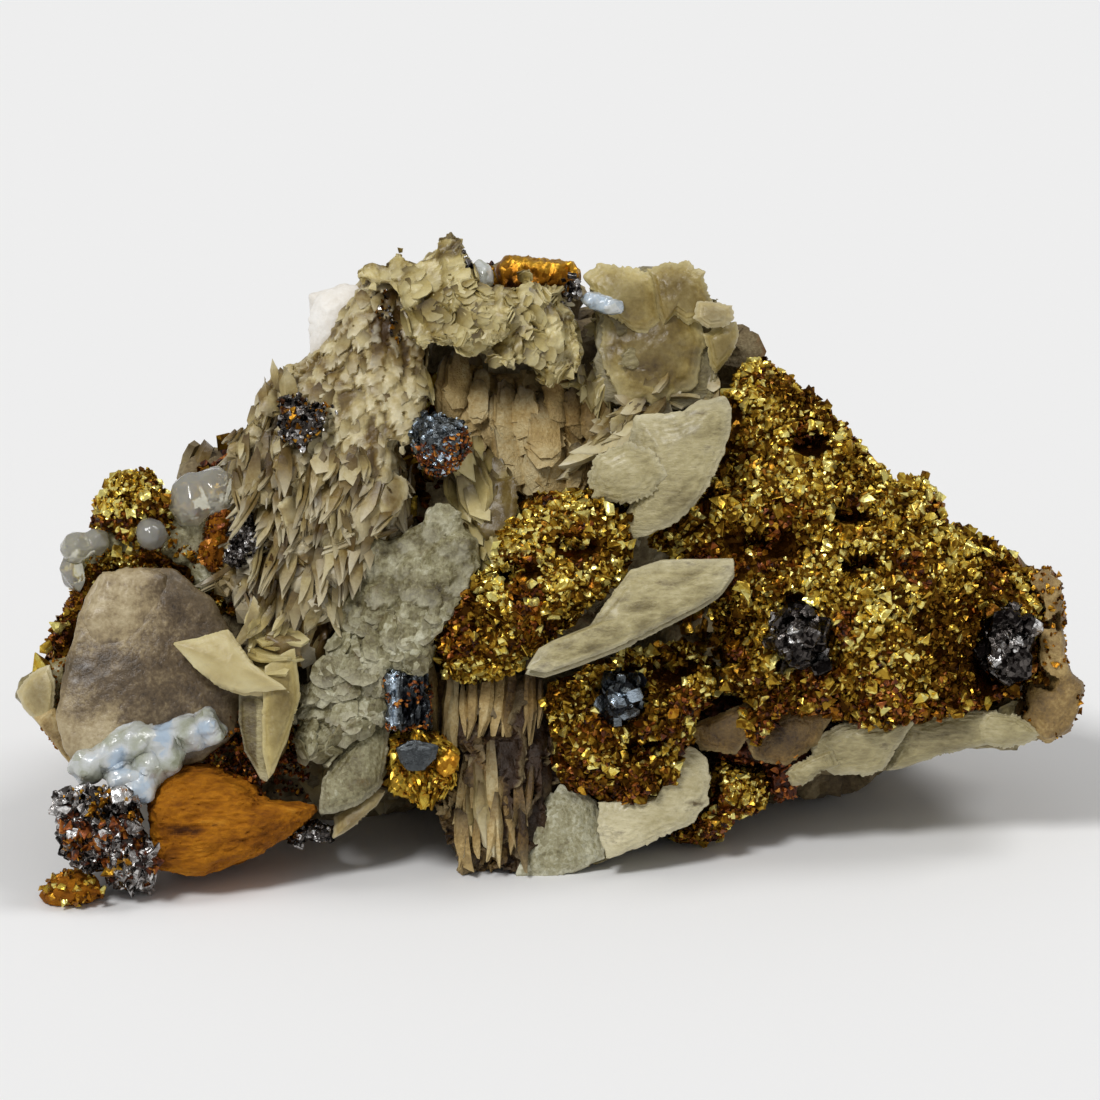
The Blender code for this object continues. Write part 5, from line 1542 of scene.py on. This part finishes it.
def blue_crystal(piece):
    ground = piece.ground(0.2, 0.0, ((1.6, 0.5), (0.5, 0.15)))
    comb = drift(ground.points * np.array((1.0, 1.0, 0.16)), 0.35, 2.0)
    ground = Ground(ground.points + ground.outs * (0.6 * comb)[:, None], ground.faces)
    # Painted highlight: a bright band down the left side stands for the light that the striated face
    # reflects.
    band = np.exp(-(((ground.points[:, 0] - ground.points[:, 0].min() - 1.1) / 0.55) ** 2))
    piece.lay(ground, "blue_steel", 0.05 + 0.35 * comb + 0.9 * band, 0.5)
    low = piece.sow(ground, 0.5, lambda at, out: (out[:, 1] < 0.4) & (drift(at, 1.6, 5.0) > 0.12))
    piece.druse(low, 0.36, "rust_crystal", 0.6)


# The rock behind.


def matrix(piece):
    smooth = piece.ground(0.8, 0.0, ((7.0, 0.9), (2.0, 0.4), (0.9, 0.15)))

    def drifting(at):
        return np.column_stack((0.8 * drift(at, 14.0, 2.0), 0.4 * drift(at, 14.0, 5.0), -np.ones(len(at))))

    def held_back(at):
        """1 where the rock stays behind the upper right plates and above the lower right ones."""
        upper = np.clip((at[:, 0] - 11) / 3, 0, 1) * np.clip((at[:, 2] - 44) / 3, 0, 1)
        return np.maximum(
            upper, np.clip((at[:, 0] - 20) / 4, 0, 1) * np.clip((14 - at[:, 2]) / 3, 0, 1) * (at[:, 1] < 14)
        )

    def size(at):
        sizes = (1 + 0.5 * drift(at, 9.0, 1.0))[:, None] * np.array((6.0, 7.5, 2.0))
        sizes[:, 2] *= 1 - 0.8 * held_back(at)
        return sizes

    smooth.points -= smooth.outs * (4 * held_back(smooth.points))[:, None]
    ground, tone, tip = piece.shingled(smooth, 2.6, drifting, size, 0.4)
    crags = 1.5 * np.abs(drift(ground.points, 3.2, 5.0)) + 0.8 * np.abs(drift(ground.points, 1.3, 3.0)) - 0.4
    ground.points += ground.outs * (crags * (1 - 0.8 * held_back(ground.points)))[:, None]
    piece.lay(ground, "grey_rock", 0.42 + 0.25 * drift(ground.points, 8.0) + tone + 0.3 * crags, tip)

    def seen(at, out):
        """Not the flat underside, and not the upper right part, which shows bare beside the plates."""
        bare = (
            (at[:, 0] > -4) & (at[:, 2] > 44) & (out[:, 1] < 0.6) | (at[:, 0] > 10) & (at[:, 2] < 13)
            & (out[:, 1] < 0.6)
        )
        return (out @ np.array((0, math.sin(LEAN), -math.cos(LEAN))) < 0.75) & ~bare

    at, out = piece.sow(smooth, 2.3, seen, 4.0)
    flow = drifting(at)
    kind = drift(at, 11.0, 3.0)
    bladed = (kind > 0.12) & (piece.rng.random(len(at)) < 0.7)
    piece.scales(
        raised((at, out), bladed, 0.8), flow[bladed], (3.4, 5.6, 0.7), "tan_scale",
        patchy(0.4, 0.25, 6), 16, 0.6 * drift(at[bladed], 9.0, 7.0), LEAVES, 2, 0.3, 0.8, 1.2,
    )
    at, out = piece.sow(ground, 1.0, seen, 3.0)
    kind = drift(at, 11.0, 3.0)
    gold = (kind < -0.22) | (drift(at, 7.0, 12.0) > 0.44)
    piece.druse((at[gold], out[gold]), 1.4, "fresh_gold", patchy(0.36, 0.3))
    rusty = (kind < -0.14) & (kind > -0.22)
    piece.druse((at[rusty], out[rusty]), 0.8, "rust_crystal", patchy(0.4, 0.3))
    for low, high, z, depth in ((-29.6, -24.2, 13.2, 0.5), (-34.5, -28.6, 11.6, -2.0)):
        across, deep = piece.rng.uniform(low, high, 420), piece.rng.normal(depth, 1.0, 420)
        at = np.column_stack((across, deep, z + piece.rng.normal(0, 2.6, 420)))
        piece.druse(facing(at), 0.42, "rust_crystal", 0.4)
        piece.druse(facing(at[::4] - (0, 0.3, 0)), 0.4, "old_gold", 0.5)


# The CAD slots and the pieces in each, in the order in which they grow.
SLOTS = {
    "tan_scales": (
        lens_crystal, upright_blades, scaly_flank, hood, cream_column, oblique_stack, green_blades,
        recess_blades, blade_column, tan_plate,
    ),
    "grey_plates": (
        granular_plate, grey_disc, disc_plate, lens_blade, bottom_disc, upper_plates, right_plates,
    ),
    "smoky_plate": (smoky_disc,),
    "white_crystal": (white_plate, white_crust, pale_crystal),
    "clear_crystal": (bleb_large, bleb_small, blebs_left, clear_crust),
    "rusty_oxide": (rust_chunk, rust_ridge, brown_zone, tip_crust, top_crust),
    "dark_metallic_crystal": (
        dark_ball, dark_blob, dark_cluster, dark_crystal_lower, dark_crystal_right, dark_crystal_tip,
        dark_grain, dark_specks, blue_crystal,
    ),
    "chalcopyrite": (
        chalcopyrite_main, chalcopyrite_middle, chalcopyrite_lower, chalcopyrite_bottom, chalcopyrite_left,
        chalcopyrite_band, gold_plates, gold_tip,
    ),
    "matrix_rock": (matrix,),
}


def grow(build, slot, number):
    piece = Piece(build.__name__, 100 + number)
    build(piece)
    grown = piece.settle()
    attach(grown, "root")
    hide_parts(build.__name__)


# The floor, the lights and the camera.


def sun(name, place, softness, power):
    """A soft light from far away, so that the floor is evenly lit. softness is its width in degrees."""
    light = bpy.data.lights.new(name, "SUN")
    light.angle = math.radians(softness)
    light.energy = power
    made = bpy.data.objects.new(name, light)
    made.location = place
    made.rotation_euler = (-Vector(place)).to_track_quat("-Z", "Y").to_euler()
    bpy.context.scene.collection.objects.link(made)


def studio():
    scene = bpy.context.scene
    form = bmesh.new()
    bmesh.ops.create_grid(form, x_segments=1, y_segments=1, size=FLOOR_SIZE)
    mesh = bpy.data.meshes.new("floor")
    form.to_mesh(mesh)
    form.free()
    floor = bpy.data.objects.new("floor", mesh)
    scene.collection.objects.link(floor)
    paper = bpy.data.materials.new("floor_paper")
    paper.use_nodes = True
    paper.node_tree.nodes["Principled BSDF"].inputs["Base Color"].default_value = FLOOR_COLOUR
    paper.node_tree.nodes["Principled BSDF"].inputs["Roughness"].default_value = 0.9
    mesh.materials.append(paper)

    world = bpy.data.worlds.new("studio")
    world.use_nodes = True
    world.node_tree.nodes["Background"].inputs["Color"].default_value = (1, 1, 1, 1)
    world.node_tree.nodes["Background"].inputs["Strength"].default_value = WORLD_LIGHT
    scene.world = world
    sun("key", (-0.4, -0.6, 0.9), 16, 1.7)
    sun("fill", (0.5, 0.15, 0.8), 24, 0.8)
    scene.view_settings.view_transform = "Standard"

    aim = FACE @ Vector(CAMERA_AIM)
    ahead = Vector((0, math.cos(LEAN), -math.sin(LEAN)))
    camera = bpy.data.objects.new("camera", bpy.data.cameras.new("camera"))
    camera.data.sensor_width = SENSOR
    camera.data.lens = SENSOR * CAMERA_AWAY / FRAME_WIDTH
    camera.location = aim - CAMERA_AWAY * ahead
    camera.rotation_euler = ahead.to_track_quat("-Z", "Y").to_euler()
    scene.collection.objects.link(camera)
    scene.camera = camera


make_finishes()
builders = [(build, slot) for slot, builds in SLOTS.items() for build in builds]
for number, (build, slot) in enumerate(builders):
    grow(build, slot, number)
studio()
